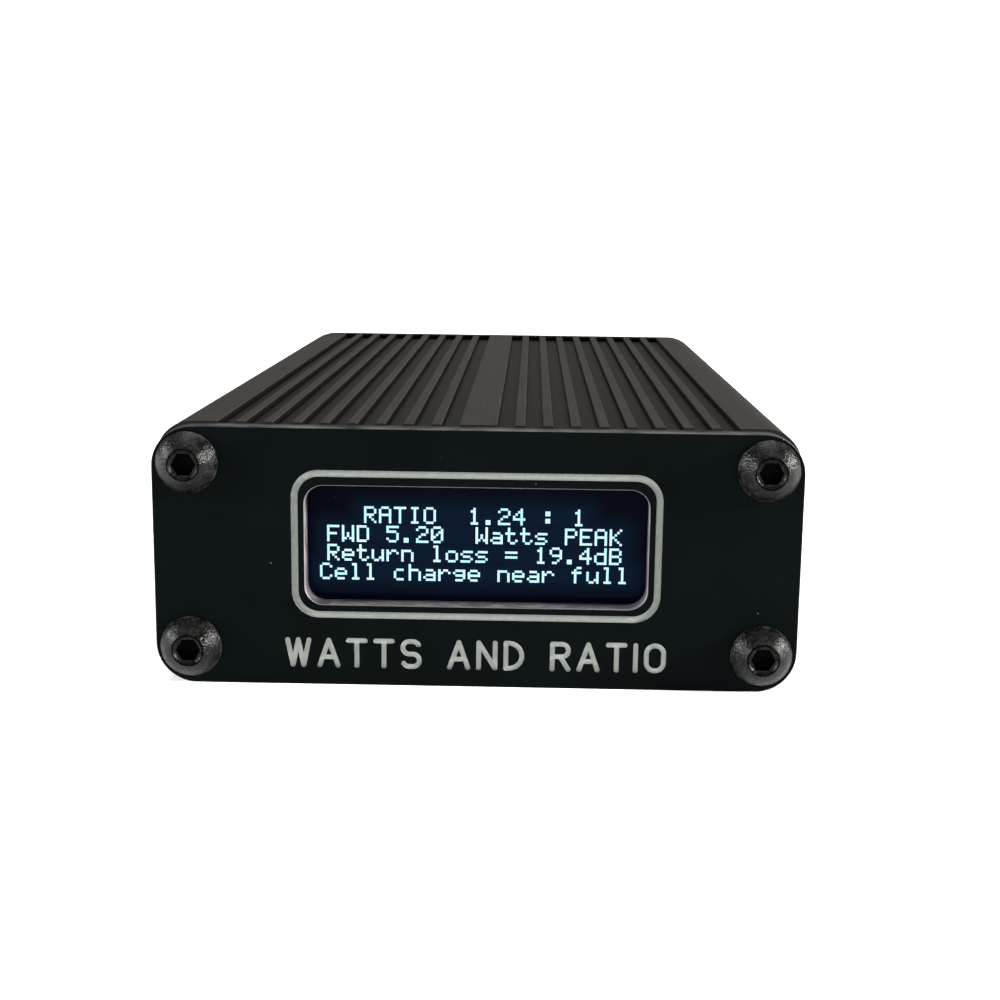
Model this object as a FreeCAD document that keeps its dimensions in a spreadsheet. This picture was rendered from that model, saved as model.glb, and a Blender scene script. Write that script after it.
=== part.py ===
import FreeCAD, Part
import math
import os
import Sketcher
import PartDesign
from FreeCAD import Placement, Rotation, Vector

# Pocket SWR and power meter: a ribbed extruded case in two halves between two end plates, with a
# dot-matrix display in front, and two bayonet RF jacks, a charging socket and a slide switch behind.
# Frame: origin at the bottom centre of the case, +X right, +Y to the rear, +Z up, millimetres.

SIZES = {
    # case: two equal half shells, each an extrusion with ribs, screw channels and board slots
    "case_width": 45.0,
    "case_height": 18.44,
    "case_length": 75.0,
    "side_wall": 1.5,
    "floor_skin": 1.2,
    "groove_depth": 0.5,
    "groove_width": 1.25,
    "groove_pitch": 1.95,
    "centre_land": 2.62,
    "rib_chamfer": 0.06,
    "case_corner": 2.6,
    "seam_chamfer": 0.15,
    "tongue_width": 0.6,
    "tongue_rise": 0.8,
    "seam_clearance": 0.05,
    "rail_reach": 0.9,
    "rail_depth": 1.2,
    "channel_radius": 2.1,
    "channel_slot": 1.0,
    # end plates and their screws
    "plate_thickness": 1.5,
    "front_plate_step": 0.14,
    "plate_corner": 2.85,
    "plate_chamfer": 0.06,
    "screw_inset": 2.5,
    "screw_height": 2.67,
    "screw_radius": 1.25,
    "screw_length": 6.0,
    "screw_point": 0.3,
    "screw_clearance": 0.15,
    "thread_clearance": 0.02,
    "head_radius": 2.15,
    "head_height": 1.35,
    "head_rim": 0.22,
    "mouth_radius": 1.12,
    "mouth_depth": 0.2,
    "hex_flats": 1.5,
    "hex_depth": 0.95,
    # window, engraved frame line and engraved capitals of the front plate
    "window_width": 23.84,
    "window_height": 8.43,
    "window_centre": 10.04,
    "window_corner": 1.3,
    "window_chamfer": 0.06,
    "frame_width": 25.7,
    "frame_height": 10.48,
    "frame_centre": 10.11,
    "frame_corner": 1.9,
    "engraving_width": 0.46,
    "engraving_depth": 0.12,
    "letter_height": 2.16,
    "letter_base": 1.25,
    "letter_stroke": 0.34,
    "letter_gap": 0.42,
    "word_gap": 1.8,
    # display
    "glass_width": 30.0,
    "glass_height": 11.5,
    "glass_thickness": 0.7,
    "glass_shift": 1.7,
    "gasket_thickness": 0.2,
    "gasket_border": 0.7,
    "gasket_setback": 0.2,
    "cap_width": 24.6,
    "cap_thickness": 0.75,
    "cap_inset": 0.5,
    "tape_inset": 1.5,
    "driver_width": 1.2,
    "driver_length": 8.0,
    "driver_thickness": 0.35,
    "carrier_inset": 0.2,
    "carrier_height": 12.0,
    "carrier_thickness": 1.0,
    "carrier_tape": 0.25,
    "flex_width": 7.0,
    "flex_thickness": 0.12,
    "flex_lap": 1.4,
    "flex_tail": 5.0,
    "flex_flat": 0.01,
    "header_pitch": 2.54,
    "header_body": 2.5,
    "header_pin": 0.64,
    "header_setback": 2.6,
    "header_tail": 0.6,
    "pin_clearance": 0.02,
    # main board
    "board_thickness": 1.2,
    "board_clearance": 0.1,
    "slot_clearance": 0.05,
    "board_front_gap": 1.0,
    "board_rear_gap": 8.5,
    "board_neck": 9.6,
    "board_neck_gap": 0.3,
    "chip_stand": 0.12,
    "leg_strip": 0.28,
    "leg_foot": 0.9,
    "leg_height": 0.15,
    # RF jacks
    "thread_radius": 4.75,
    "thread_length": 9.0,
    "jack_clearance": 0.1,
    "flange_radius": 7.0,
    "flange_thickness": 1.8,
    "barrel_radius": 4.8,
    "barrel_length": 9.8,
    "barrel_bore": 4.05,
    "barrel_depth": 8.6,
    "jack_chamfer": 0.25,
    "lug_radius": 1.0,
    "lug_reach": 5.5,
    "lug_setback": 5.2,
    "leg_length": 4.5,
    "leg_width": 1.0,
    "leg_thickness": 0.9,
    "leg_root": 0.5,
    "insulator_radius": 2.45,
    "insulator_nose": 5.5,
    "insulator_tail": 0.5,
    "insulator_clearance": 0.05,
    "contact_radius": 1.1,
    "contact_clearance": 0.02,
    "contact_setback": 0.3,
    "contact_bore": 0.675,
    "contact_bore_depth": 5.0,
    "contact_pin": 0.65,
    "contact_pin_length": 4.0,
    "washer_radius": 6.7,
    "washer_thickness": 0.6,
    "nut_flats": 12.7,
    "nut_thickness": 2.0,
    "nut_room": 0.27,
    # charging socket
    "socket_width": 8.94,
    "socket_height": 3.16,
    "socket_length": 7.3,
    "socket_skin": 0.3,
    "socket_corner": 1.5,
    "socket_recess": 0.5,
    "socket_opening": 0.2,
    "socket_blade_width": 6.69,
    "socket_blade_thickness": 0.7,
    "blade_setback": 0.6,
    "blade_contact_pitch": 0.5,
    "blade_contact_width": 0.26,
    "blade_contact_thickness": 0.04,
    "socket_block": 1.8,
    "socket_fit": 0.02,
    # power switch
    "switch_width": 8.6,
    "switch_depth": 4.4,
    "switch_height": 3.7,
    "switch_skin": 0.3,
    "switch_base": 0.9,
    "switch_setback": 0.4,
    "lever_width": 1.5,
    "lever_height": 1.5,
    "lever_reach": 1.9,
    "switch_travel": 2.0,
    "lever_round": 0.3,
    "slider_width": 3.6,
    "slider_depth": 3.1,
    "slider_clearance": 0.05,
    "terminal_pitch": 2.5,
    "terminal_width": 0.6,
    "terminal_length": 1.3,
    "terminal_thickness": 0.25,
    "lever_gap": 0.25,
    # cell
    "cell_width": 20.0,
    "cell_length": 34.0,
    "cell_thickness": 4.0,
    "cell_corner": 1.2,
    "cell_tape": 0.3,
    "cell_tape_inset": 1.5,
    "cell_front": 24.0,
    "cell_strip_depth": 2.2,
    "cell_strip_height": 2.6,
    "lead_radius": 0.45,
    "lead_pitch": 1.5,
    "lead_turn": 1.6,
    "lead_inset": 4.0,
    "plug_width": 4.6,
    "plug_height": 2.0,
    "plug_length": 4.4,
    "plug_clearance": 0.05,
    "plug_wall": 0.8,
    "plug_place": 14.2,
    "plug_front": 26.6,
    # directional coupler
    "core_radius": 3.15,
    "core_bore": 1.9,
    "core_length": 2.5,
    "core_offset": 7.0,
    "core_place": 17.0,
    "winding_wire": 0.3,
    "winding_gap": 0.04,
    "through_wire": 0.5,
    "through_span": 9.0,
    "through_bend": 1.5,
}

doc = FreeCAD.newDocument("swr_meter")
sheet = doc.addObject("Spreadsheet::Sheet", "Sizes")
for row, (alias, number) in enumerate(SIZES.items(), start=1):
    sheet.set("A%d" % row, alias.replace("_", " "))
    sheet.set("B%d" % row, str(number))
    sheet.setAlias("B%d" % row, alias)
doc.recompute()


class Size:
    """A length that carries its number and the sheet formula that gives it."""

    def __init__(self, number, formula):
        self.number = float(number)
        self.formula = formula

    @staticmethod
    def of(item):
        return item if isinstance(item, Size) else Size(item, repr(float(item)))

    def __add__(self, other):
        other = Size.of(other)
        return Size(self.number + other.number, "(%s + %s)" % (self.formula, other.formula))

    def __sub__(self, other):
        other = Size.of(other)
        return Size(self.number - other.number, "(%s - %s)" % (self.formula, other.formula))

    def __mul__(self, other):
        other = Size.of(other)
        return Size(self.number * other.number, "(%s * %s)" % (self.formula, other.formula))

    def __truediv__(self, other):
        other = Size.of(other)
        return Size(self.number / other.number, "(%s / %s)" % (self.formula, other.formula))

    def __neg__(self):
        return self * -1.0

    def __radd__(self, other):
        return Size.of(other) + self

    def __rsub__(self, other):
        return Size.of(other) - self

    def __rmul__(self, other):
        return Size.of(other) * self

    def __float__(self):
        return self.number


class Sheet:
    """Reads one named size of the spreadsheet as a Size."""

    def __getattr__(self, alias):
        return Size(getattr(sheet, alias), "Sizes." + alias)


S = Sheet()
ROOT3 = math.sqrt(3.0)


# ---------------------------------------------------------------- helpers

def bind(item, path, size):
    """Sets a property of an object from a size, by the sheet's formula."""
    size = Size.of(size)
    item.setExpression(path, size.formula)


def place(item, x=0.0, y=0.0, z=0.0, turn=None):
    """Gives a sub-part its place, bound to the sheet, after an optional turn."""
    item.Placement = Placement(Vector(float(x), float(y), float(z)), turn or Rotation())
    for axis, size in (("x", x), ("y", y), ("z", z)):
        bind(item, "Placement.Base." + axis, size)


def new_body(name):
    body = doc.addObject("PartDesign::Body", name)
    body.Label = name
    body.AllowCompound = True
    return body


def origin(body, role):
    return next(item for item in body.Origin.OriginFeatures if item.Role == role)


def draw(body, plane, height=None):
    """A sketch on one of the body's own origin planes, raised along that plane's normal."""
    sketch = body.newObject("Sketcher::SketchObject", "%s_sketch" % body.Name)
    sketch.AttachmentSupport = [(origin(body, plane), "")]
    sketch.MapMode = "FlatFace"
    if height is not None:
        bind(sketch, "AttachmentOffset.Base.z", height)
    return sketch


def pin(sketch, kind, place_of, size):
    """Fixes one coordinate of a point of the sketch by a bound constraint."""
    geometry, vertex = place_of
    number = float(size)
    index = sketch.addConstraint(Sketcher.Constraint(kind, -1, 1, geometry, vertex, number))
    bind(sketch, "Constraints[%d]" % index, size)


def heading(a, b):
    """The unit direction from a to b along X or Y, as two whole numbers."""
    dx = float(b[0]) - float(a[0])
    dy = float(b[1]) - float(a[1])
    if abs(dx) > abs(dy):
        return (math.copysign(1.0, dx), 0.0)
    return (0.0, math.copysign(1.0, dy))


DOME = "dome"


def dome_arc(begin, finish):
    """The arc between two points whose centre has x = 0, run anticlockwise from finish to begin."""
    rise = (begin.x ** 2 - finish.x ** 2 + begin.y ** 2 - finish.y ** 2) / (2.0 * (begin.y - finish.y))
    centre = Vector(0, rise, 0)
    radius = (begin - centre).Length
    halfway = ((begin - centre).normalize() + (finish - centre).normalize()).normalize()
    return Part.Arc(finish, centre + halfway * radius, begin)


def outline(sketch, points):
    """A closed outline through points (x, y).

    A third value rounds that square corner, or, where it is DOME, makes the edge that leaves the
    point an arc whose centre lies on the sketch's vertical axis.
    """
    count = len(points)
    leaves = []
    for i, point in enumerate(points):
        if len(point) == 2 or point[2] == DOME:
            leaves.append((point, point))
            continue
        x, y, radius = point
        x = Size.of(x)
        y = Size.of(y)
        inward = heading(points[i - 1], point)
        outward = heading(point, points[(i + 1) % count])
        start = (x - radius * inward[0], y - radius * inward[1])
        end = (x + radius * outward[0], y + radius * outward[1])
        leaves.append((start, end))
    previous = None
    first = None
    for i, point in enumerate(points):
        start, end = leaves[i]
        if len(point) == 3 and point[2] != DOME:
            radius = float(point[2])
            inward = heading(points[i - 1], point)
            outward = heading(point, points[(i + 1) % count])
            centre = Vector(float(start[0]) + outward[0] * radius, float(start[1]) + outward[1] * radius, 0)
            corner = Vector(-(outward[0] - inward[0]), -(outward[1] - inward[1]), 0)
            corner.normalize()
            middle = centre + corner * radius
            begin = Vector(float(start[0]), float(start[1]), 0)
            finish = Vector(float(end[0]), float(end[1]), 0)
            arc = sketch.addGeometry(Part.Arc(begin, middle, finish), False)
            turns_left = inward[0] * outward[1] - inward[1] * outward[0] > 0
            into, out_of = (1, 2) if turns_left else (2, 1)
            index = sketch.addConstraint(Sketcher.Constraint("Radius", arc, radius))
            bind(sketch, "Constraints[%d]" % index, point[2])
            if previous is not None:
                sketch.addConstraint(Sketcher.Constraint("Coincident", previous, 2, arc, into))
            else:
                first = (arc, into)
            joint = (arc, out_of)
        else:
            joint = None
        following = leaves[(i + 1) % count][0]
        begin = Vector(float(end[0]), float(end[1]), 0)
        finish = Vector(float(following[0]), float(following[1]), 0)
        curve = Part.LineSegment(begin, finish)
        ends = ((1, end), (2, following))
        if point[-1] == DOME:
            curve = dome_arc(begin, finish)
            ends = ((1, following), (2, end))
        edge = sketch.addGeometry(curve, False)
        for vertex, spot in ends:
            pin(sketch, "DistanceX", (edge, vertex), spot[0])
            pin(sketch, "DistanceY", (edge, vertex), spot[1])
        if point[-1] == DOME:
            pin(sketch, "DistanceX", (edge, 3), 0.0)
        if joint is not None:
            sketch.addConstraint(Sketcher.Constraint("Coincident", joint[0], joint[1], edge, 1))
        elif first is None:
            first = (edge, 1)
        previous = edge
    if len(points[0]) == 3:
        sketch.addConstraint(Sketcher.Constraint("Coincident", previous, 2, first[0], first[1]))


def rectangle(sketch, left, low, right, high, radius=None):
    corners = [(left, low), (right, low), (right, high), (left, high)]
    if radius is not None:
        corners = [corner + (radius,) for corner in corners]
    outline(sketch, corners)


def circle(sketch, x, y, radius):
    centre = Vector(float(x), float(y), 0)
    ring = sketch.addGeometry(Part.Circle(centre, Vector(0, 0, 1), float(radius)), False)
    pin(sketch, "DistanceX", (ring, 3), x)
    pin(sketch, "DistanceY", (ring, 3), y)
    index = sketch.addConstraint(Sketcher.Constraint("Radius", ring, float(radius)))
    bind(sketch, "Constraints[%d]" % index, radius)


def hexagon(sketch, flats):
    """A hexagon about the sketch's origin with two flats across Y."""
    half = flats / 2.0
    corner = flats / ROOT3
    outline(sketch, [(corner, Size.of(0)), (corner / 2.0, half), (corner / -2.0, half),
                     (-corner, Size.of(0)), (corner / -2.0, -half), (corner / 2.0, -half)])


def pad(body, sketch, length, reverse=False, both=False):
    feature = body.newObject("PartDesign::Pad", body.Name + "_pad")
    feature.Profile = sketch
    bind(feature, "Length", length)
    feature.Reversed = reverse
    if both:
        feature.SideType = "Symmetric"
    doc.recompute()
    return feature


def pocket(body, sketch, length, reverse=False):
    """Cuts the sketch into the body and makes sure that something was cut."""
    before = body.Shape.Volume
    feature = body.newObject("PartDesign::Pocket", body.Name + "_pocket")
    feature.Profile = sketch
    bind(feature, "Length", length)
    feature.Reversed = reverse
    doc.recompute()
    if body.Shape.Volume > before - 1e-6:
        raise RuntimeError("a pocket of %s cuts nothing" % body.Label)
    return feature


def revolve(body, sketch, kind="PartDesign::Revolution"):
    """Turns a profile of (radius, length) points once about the sketch's vertical axis."""
    feature = body.newObject(kind, body.Name + "_turned")
    feature.Profile = sketch
    feature.ReferenceAxis = (sketch, ["V_Axis"])
    feature.Angle = 360
    doc.recompute()
    return feature


def dress(body, kind, size, chosen):
    """Fillets or chamfers the edges of the body's tip for which chosen(edge) is true."""
    base = body.Tip
    names = ["Edge%d" % (i + 1) for i, edge in enumerate(base.Shape.Edges) if chosen(edge)]
    feature = body.newObject("PartDesign::" + kind, "%s_%s" % (body.Name, kind.lower()))
    feature.Base = (base, names)
    bind(feature, "Radius" if kind == "Fillet" else "Size", size)
    doc.recompute()
    return feature


def lies_at(edge, depth):
    """True for an edge that lies in the plane across Y at this depth."""
    return edge.BoundBox.YLength < 1e-6 and abs(edge.BoundBox.YMin - float(depth)) < 1e-6


def pattern(body, originals, role, length, count, second=None):
    """Repeats features along one origin axis, or along two."""
    feature = body.newObject("PartDesign::LinearPattern", body.Name + "_pattern")
    feature.Originals = originals
    feature.Direction = (origin(body, role), [""])
    bind(feature, "Length", length)
    feature.Occurrences = count
    if second is not None:
        role_two, length_two, count_two = second
        feature.Direction2 = (origin(body, role_two), [""])
        bind(feature, "Length2", length_two)
        feature.Occurrences2 = count_two
    body.Tip = feature
    doc.recompute()
    return feature


def box(name, low, high):
    """A Part::Box between two corners, each a triple of sizes."""
    item = doc.addObject("Part::Box", name)
    low = [Size.of(size) for size in low]
    high = [Size.of(size) for size in high]
    for prop, a, b in zip(("Length", "Width", "Height"), low, high):
        bind(item, prop, b - a)
    place(item, *low)
    return item


def group(name, members):
    """Separate solids kept together under one node name."""
    item = doc.addObject("Part::Compound", name)
    item.Links = members
    item.Label = name
    return item


def cut(name, base, tool):
    item = doc.addObject("Part::Cut", name)
    item.Base = base
    item.Tool = tool
    item.Label = name
    return item


def boxes(name, rows):
    """A group of plain boxes, each given by two corners."""
    return group(name, [box("%s_%d" % (name, i), low, high) for i, (low, high) in enumerate(rows, 1)])


def tube(points, bend, radius):
    """A round wire along straight runs joined by tangent arcs of one bend radius."""
    points = [Vector(*[float(size) for size in point]) for point in points]
    edges = []
    begin = points[0]
    for before, corner, after in zip(points, points[1:], points[2:]):
        arrive = (corner - before).normalize()
        leave = (after - corner).normalize()
        half_turn = arrive.getAngle(leave) / 2.0
        setback = bend * math.tan(half_turn)
        start = corner - arrive * setback
        end = corner + leave * setback
        inward = (leave - arrive).normalize()
        crown = corner + inward * (bend / math.cos(half_turn) - bend)
        edges.append(Part.LineSegment(begin, start).toShape())
        edges.append(Part.Arc(start, crown, end).toShape())
        begin = end
    edges.append(Part.LineSegment(begin, points[-1]).toShape())
    path = Part.Wire(edges)
    mouth = Part.Wire(Part.Circle(points[0], (points[1] - points[0]).normalize(), radius).toShape())
    return path.makePipeShell([mouth], True, True)


def wires(name, routes, bend, radius):
    """A group of bent wires as one object whose shape is set from the sheet's sizes."""
    item = doc.addObject("Part::Feature", name)
    item.Shape = Part.makeCompound([tube(route, float(bend), float(radius)) for route in routes])
    item.Label = name
    return item


# ---------------------------------------------------------------- shared places

front_face = -(S.case_length / 2.0) - S.plate_thickness
shell_front = -(S.case_length / 2.0)
shell_rear = S.case_length / 2.0
rear_face = shell_rear + S.plate_thickness
half_width = S.case_width / 2.0
seam = S.case_height / 2.0
floor_top = S.groove_depth + S.floor_skin
inner_half = half_width - S.side_wall
screw_span = S.case_width - S.screw_inset * 2.0
screw_rise = S.case_height - S.screw_height * 2.0
jack_axis = seam
jack_offset = inner_half - S.rail_reach - S.nut_flats / ROOT3 - S.nut_room
board_top = jack_axis - S.contact_pin
board_bottom = board_top - S.board_thickness
board_rear = shell_rear - S.board_rear_gap
board_neck_end = shell_rear - S.board_neck_gap
glass_front = shell_front + S.gasket_thickness
glass_back = glass_front + S.glass_thickness
cap_back = glass_back + S.cap_thickness
carrier_front = cap_back + S.carrier_tape
carrier_back = carrier_front + S.carrier_thickness
board_front = carrier_back + S.board_front_gap
screw_bore = S.screw_radius + S.thread_clearance
hole_radius = S.screw_radius + S.screw_clearance
header_height = board_top + S.header_body / 2.0
header_drop = board_front + S.header_setback
header_hole = S.header_pin * math.sqrt(0.5) + S.pin_clearance
lever_axis = board_top + S.switch_height / 2.0


# ---------------------------------------------------------------- case

GROOVES = 9  # grooves on each side of the centre land


def half_shell(name):
    """One half of the case: the same extrusion serves above and, turned over, below."""
    body = new_body(name)
    left = -half_width
    rim = seam - S.seam_chamfer

    section = draw(body, "XZ_Plane")
    outline(section, [
        (left, rim), (left, Size.of(0), S.case_corner), (half_width, Size.of(0), S.case_corner),
        (half_width, rim), (half_width - S.seam_chamfer, seam), (inner_half, seam),
        (inner_half, floor_top), (-inner_half, floor_top), (-inner_half, seam),
        (left + S.seam_chamfer, seam),
    ])
    pad(body, section, S.case_length, reverse=True)

    channels = draw(body, "XZ_Plane")
    for side in (-1, 1):
        circle(channels, screw_span * (side / 2.0), S.screw_height, S.channel_radius)
    pad(body, channels, S.case_length, reverse=True)

    rails = draw(body, "XZ_Plane")
    slot_low = board_bottom - S.slot_clearance
    slot_high = board_top + S.slot_clearance
    inset = S.side_wall / 2.0
    for side in (-1, 1):
        outer = (inner_half + inset) * side
        inner = (inner_half - S.rail_reach) * side
        near, far = (inner, outer) if side > 0 else (outer, inner)
        rectangle(rails, near, slot_low - S.rail_depth, far, slot_low)
        rectangle(rails, near, slot_high, far, seam)
    pad(body, rails, S.case_length, reverse=True)

    tongue = draw(body, "XZ_Plane")
    wall_middle = half_width - S.side_wall / 2.0
    half_tongue = S.tongue_width / 2.0
    rectangle(tongue, -wall_middle - half_tongue, seam - S.tongue_rise,
              -wall_middle + half_tongue, seam + S.tongue_rise)
    pad(body, tongue, S.case_length, reverse=True)

    slit = draw(body, "XZ_Plane")
    half_slit = half_tongue + S.seam_clearance
    rectangle(slit, wall_middle - half_slit, seam - S.tongue_rise - S.seam_clearance * 2.0,
              wall_middle + half_slit, seam + S.tongue_rise)
    pocket(body, slit, S.case_length, reverse=False)

    bores = draw(body, "XZ_Plane")
    for side in (-1, 1):
        circle(bores, screw_span * (side / 2.0), S.screw_height, screw_bore)
    pocket(body, bores, S.case_length)

    mouths = draw(body, "XZ_Plane")
    across = S.channel_slot / math.sqrt(8.0)
    reach = S.channel_radius
    for side in (-1, 1):
        x = screw_span * (side / 2.0)
        z = S.screw_height
        outline(mouths, [
            (x - across * side, z - across), (x + across * side, z + across),
            (x + (across - reach) * side, z + across + reach),
            (x - (across + reach) * side, z - across + reach),
        ])
    pocket(body, mouths, S.case_length)

    for side in (-1, 1):
        groove = draw(body, "XZ_Plane")
        near = S.centre_land / 2.0
        far = near + S.groove_width
        low, high = (near, far) if side > 0 else (-far, -near)
        edge = S.rib_chamfer
        outline(groove, [(low - edge * 2.0, -edge), (high + edge * 2.0, -edge), (high, edge),
                         (high, S.groove_depth), (low, S.groove_depth), (low, edge)])
        first = pocket(body, groove, S.case_length)
        run = pattern(body, [first], "X_Axis", S.groove_pitch * (GROOVES - 1), GROOVES)
        run.Reversed = side < 0
        doc.recompute()
    return body


lower_shell = half_shell("lower_shell")
place(lower_shell, 0.0, shell_front, 0.0)
upper_shell = half_shell("upper_shell")
place(upper_shell, 0.0, shell_front, S.case_height, Rotation(Vector(0, 1, 0), 180))


def end_plate(name, height):
    """A plate over one end of the case: rounded outline, rim chamfer and four screw holes."""
    body = new_body(name)
    blank = draw(body, "XZ_Plane")
    rectangle(blank, -half_width, Size.of(0), half_width, height, S.plate_corner)
    pad(body, blank, S.plate_thickness, reverse=True)
    dress(body, "Chamfer", S.plate_chamfer, lambda edge: lies_at(edge, 0.0))
    hole = draw(body, "XZ_Plane")
    circle(hole, screw_span / -2.0, S.screw_height, hole_radius)
    first = pocket(body, hole, S.plate_thickness)
    pattern(body, [first], "X_Axis", screw_span, 2, ("Z_Axis", screw_rise, 2))
    return body


def capital(letter, width, rise):
    """Centrelines of one capital: straight strokes (a, b) and arcs (centre, radius, from, to).

    The last form, with no letter named, is S.
    """
    middle_x = width / 2.0
    middle_z = rise / 2.0
    low_left = (0.0, 0.0)
    high_left = (0.0, rise)
    low_right = (width, 0.0)
    high_right = (width, rise)
    bowl = rise / 4.0
    if letter == "W":
        return [(high_left, (width * 0.25, 0.0)), ((width * 0.25, 0.0), (middle_x, rise)),
                ((middle_x, rise), (width * 0.75, 0.0)), ((width * 0.75, 0.0), high_right)]
    if letter == "A":
        bar = rise * 0.33
        edge = width * 0.165
        return [(low_left, (middle_x, rise)), ((middle_x, rise), low_right),
                ((edge, bar), (width - edge, bar))]
    if letter == "T":
        return [(high_left, high_right), ((middle_x, rise), (middle_x, 0.0))]
    if letter == "N":
        return [(low_left, high_left), (high_left, low_right), (low_right, high_right)]
    if letter == "I":
        return [((0.0, 0.0), (0.0, rise))]
    if letter == "D":
        bend = width - middle_z if width > middle_z else 0.0
        return [(low_left, high_left), (low_left, (bend, 0.0)), (high_left, (bend, rise)),
                ((bend, middle_z), middle_z, -90.0, 90.0)]
    if letter == "R":
        turn = width - bowl
        return [(low_left, high_left), (high_left, (turn, rise)), ((0.0, middle_z), (turn, middle_z)),
                ((turn, rise - bowl), bowl, -90.0, 90.0), ((width * 0.5, middle_z), low_right)]
    if letter == "O":
        turn = middle_x
        return [((0.0, turn), (0.0, rise - turn)), ((width, turn), (width, rise - turn)),
                ((turn, rise - turn), turn, 0.0, 180.0), ((turn, turn), turn, 180.0, 360.0)]
    turn = width - bowl
    return [((turn, rise - bowl), bowl, 30.0, 90.0), ((turn, rise), (bowl, rise)),
            ((bowl, rise - bowl), bowl, 90.0, 270.0), ((bowl, middle_z), (turn, middle_z)),
            ((turn, bowl), bowl, -90.0, 90.0), ((turn, 0.0), (bowl, 0.0)),
            ((bowl, bowl), bowl, 210.0, 270.0)]


def engraved(strokes, start, base, width, depth):
    """Slots of one width with round ends, cut straight in from the plate's face."""
    solids = []
    below = 0.5
    half = width / 2.0
    for stroke in strokes:
        if len(stroke) == 2:
            (x0, z0), (x1, z1) = stroke
            a = Vector(start + x0, -below, base + z0)
            b = Vector(start + x1, -below, base + z1)
            along = (b - a).normalize()
            side = Vector(0, 1, 0).cross(along) * half
            sheet_of = Part.Face(Part.makePolygon([a + side, b + side, b - side, a - side, a + side]))
            solids.append(sheet_of.extrude(Vector(0, depth + below, 0)))
            for spot in (a, b):
                solids.append(Part.makeCylinder(half, depth + below, spot, Vector(0, 1, 0)))
            continue
        (cx, cz), radius, begin, end = stroke
        centre = Vector(start + cx, -below, base + cz)
        ring = Part.makeCylinder(radius + half, depth + below, centre, Vector(0, 1, 0))
        if radius > half:
            ring = ring.cut(Part.makeCylinder(radius - half, depth + below, centre, Vector(0, 1, 0)))
        rim = [centre]
        for step in range(5):
            angle = math.radians(begin + (end - begin) * step / 4.0)
            rim.append(centre + Vector(math.cos(angle), 0, math.sin(angle)) * (radius + half) * 3.0)
        rim.append(centre)
        wedge = Part.Face(Part.makePolygon(rim)).extrude(Vector(0, depth + below, 0))
        solids.append(ring.common(wedge))
        for degrees in (begin, end):
            angle = math.radians(degrees)
            spot = centre + Vector(math.cos(angle), 0, math.sin(angle)) * radius
            solids.append(Part.makeCylinder(half, depth + below, spot, Vector(0, 1, 0)))
    return solids


LETTER_WIDTHS = {"W": 1.5, "A": 1.28, "T": 1.15, "S": 1.15, "N": 1.15,
                 "D": 1.12, "R": 1.12, "I": 0.0, "O": 1.2}
PANEL_WORDS = "WATTS AND RATIO"


def engraved_words():
    """The engraved line of capitals, centred under the window."""
    stroke = float(S.letter_stroke)
    gap = float(S.letter_gap) + stroke
    blank = float(S.word_gap)
    rise = float(S.letter_height) - stroke
    runs = PANEL_WORDS.split(" ")
    total = sum(LETTER_WIDTHS[letter] for letter in "".join(runs)) + stroke
    total += sum((len(run) - 1) * gap for run in runs) + (len(runs) - 1) * (blank + stroke)
    across = -total / 2.0 + stroke / 2.0
    base = float(S.letter_base) + stroke / 2.0
    solids = []
    for run in runs:
        for letter in run:
            width = LETTER_WIDTHS[letter]
            solids += engraved(capital(letter, width, rise), across, base, stroke, float(S.engraving_depth))
            across += width + gap
        across += blank + stroke - gap
    merged = solids[0].multiFuse(solids[1:])
    return merged.removeSplitter()


def front_plate():
    """The front plate, a step lower than the ribs, with its window, frame line and words."""
    body = end_plate("front_plate_blank", S.case_height - S.front_plate_step)
    window = draw(body, "XZ_Plane")
    across = S.window_width / 2.0
    tall = S.window_height / 2.0
    rectangle(window, -across, S.window_centre - tall, across, S.window_centre + tall, S.window_corner)
    pocket(body, window, S.plate_thickness)
    reach = float(across) + 0.5 * float(S.engraving_width)
    dress(body, "Chamfer", S.window_chamfer,
          lambda edge: lies_at(edge, 0.0) and max(edge.BoundBox.XMax, -edge.BoundBox.XMin) < reach)

    line = draw(body, "XZ_Plane")
    across = S.frame_width / 2.0
    tall = S.frame_height / 2.0
    rectangle(line, -across, S.frame_centre - tall, across, S.frame_centre + tall, S.frame_corner)
    rectangle(line, -across + S.engraving_width, S.frame_centre - tall + S.engraving_width,
              across - S.engraving_width, S.frame_centre + tall - S.engraving_width,
              S.frame_corner - S.engraving_width)
    pocket(body, line, S.engraving_depth)

    words = doc.addObject("Part::Feature", "front_plate_words")
    words.Shape = engraved_words()
    plate = cut("front_plate", body, words)
    place(plate, 0.0, front_face, 0.0)
    return plate


front_plate()


def rear_plate():
    """The rear plate, with holes for the jacks, the charging socket and the switch lever."""
    body = end_plate("rear_plate", S.case_height)
    holes = draw(body, "XZ_Plane")
    for side in (-1, 1):
        circle(holes, jack_offset * side, jack_axis, S.thread_radius + S.jack_clearance)
    pocket(body, holes, S.plate_thickness)

    charge = draw(body, "XZ_Plane")
    across = S.socket_width / 2.0 + S.socket_opening
    rectangle(charge, -across, board_bottom - S.socket_height - S.socket_opening,
              across, board_bottom + S.socket_opening, S.socket_corner + S.socket_opening)
    pocket(body, charge, S.plate_thickness)

    slot = draw(body, "XZ_Plane")
    across = (S.lever_width + S.switch_travel) / 2.0 + S.lever_gap
    tall = S.lever_height / 2.0 + S.lever_gap
    rectangle(slot, -across, lever_axis - tall, across, lever_axis + tall)
    pocket(body, slot, S.plate_thickness)
    place(body, 0.0, rear_face, 0.0, Rotation(Vector(0, 0, 1), 180))
    return body


rear_plate()


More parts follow.
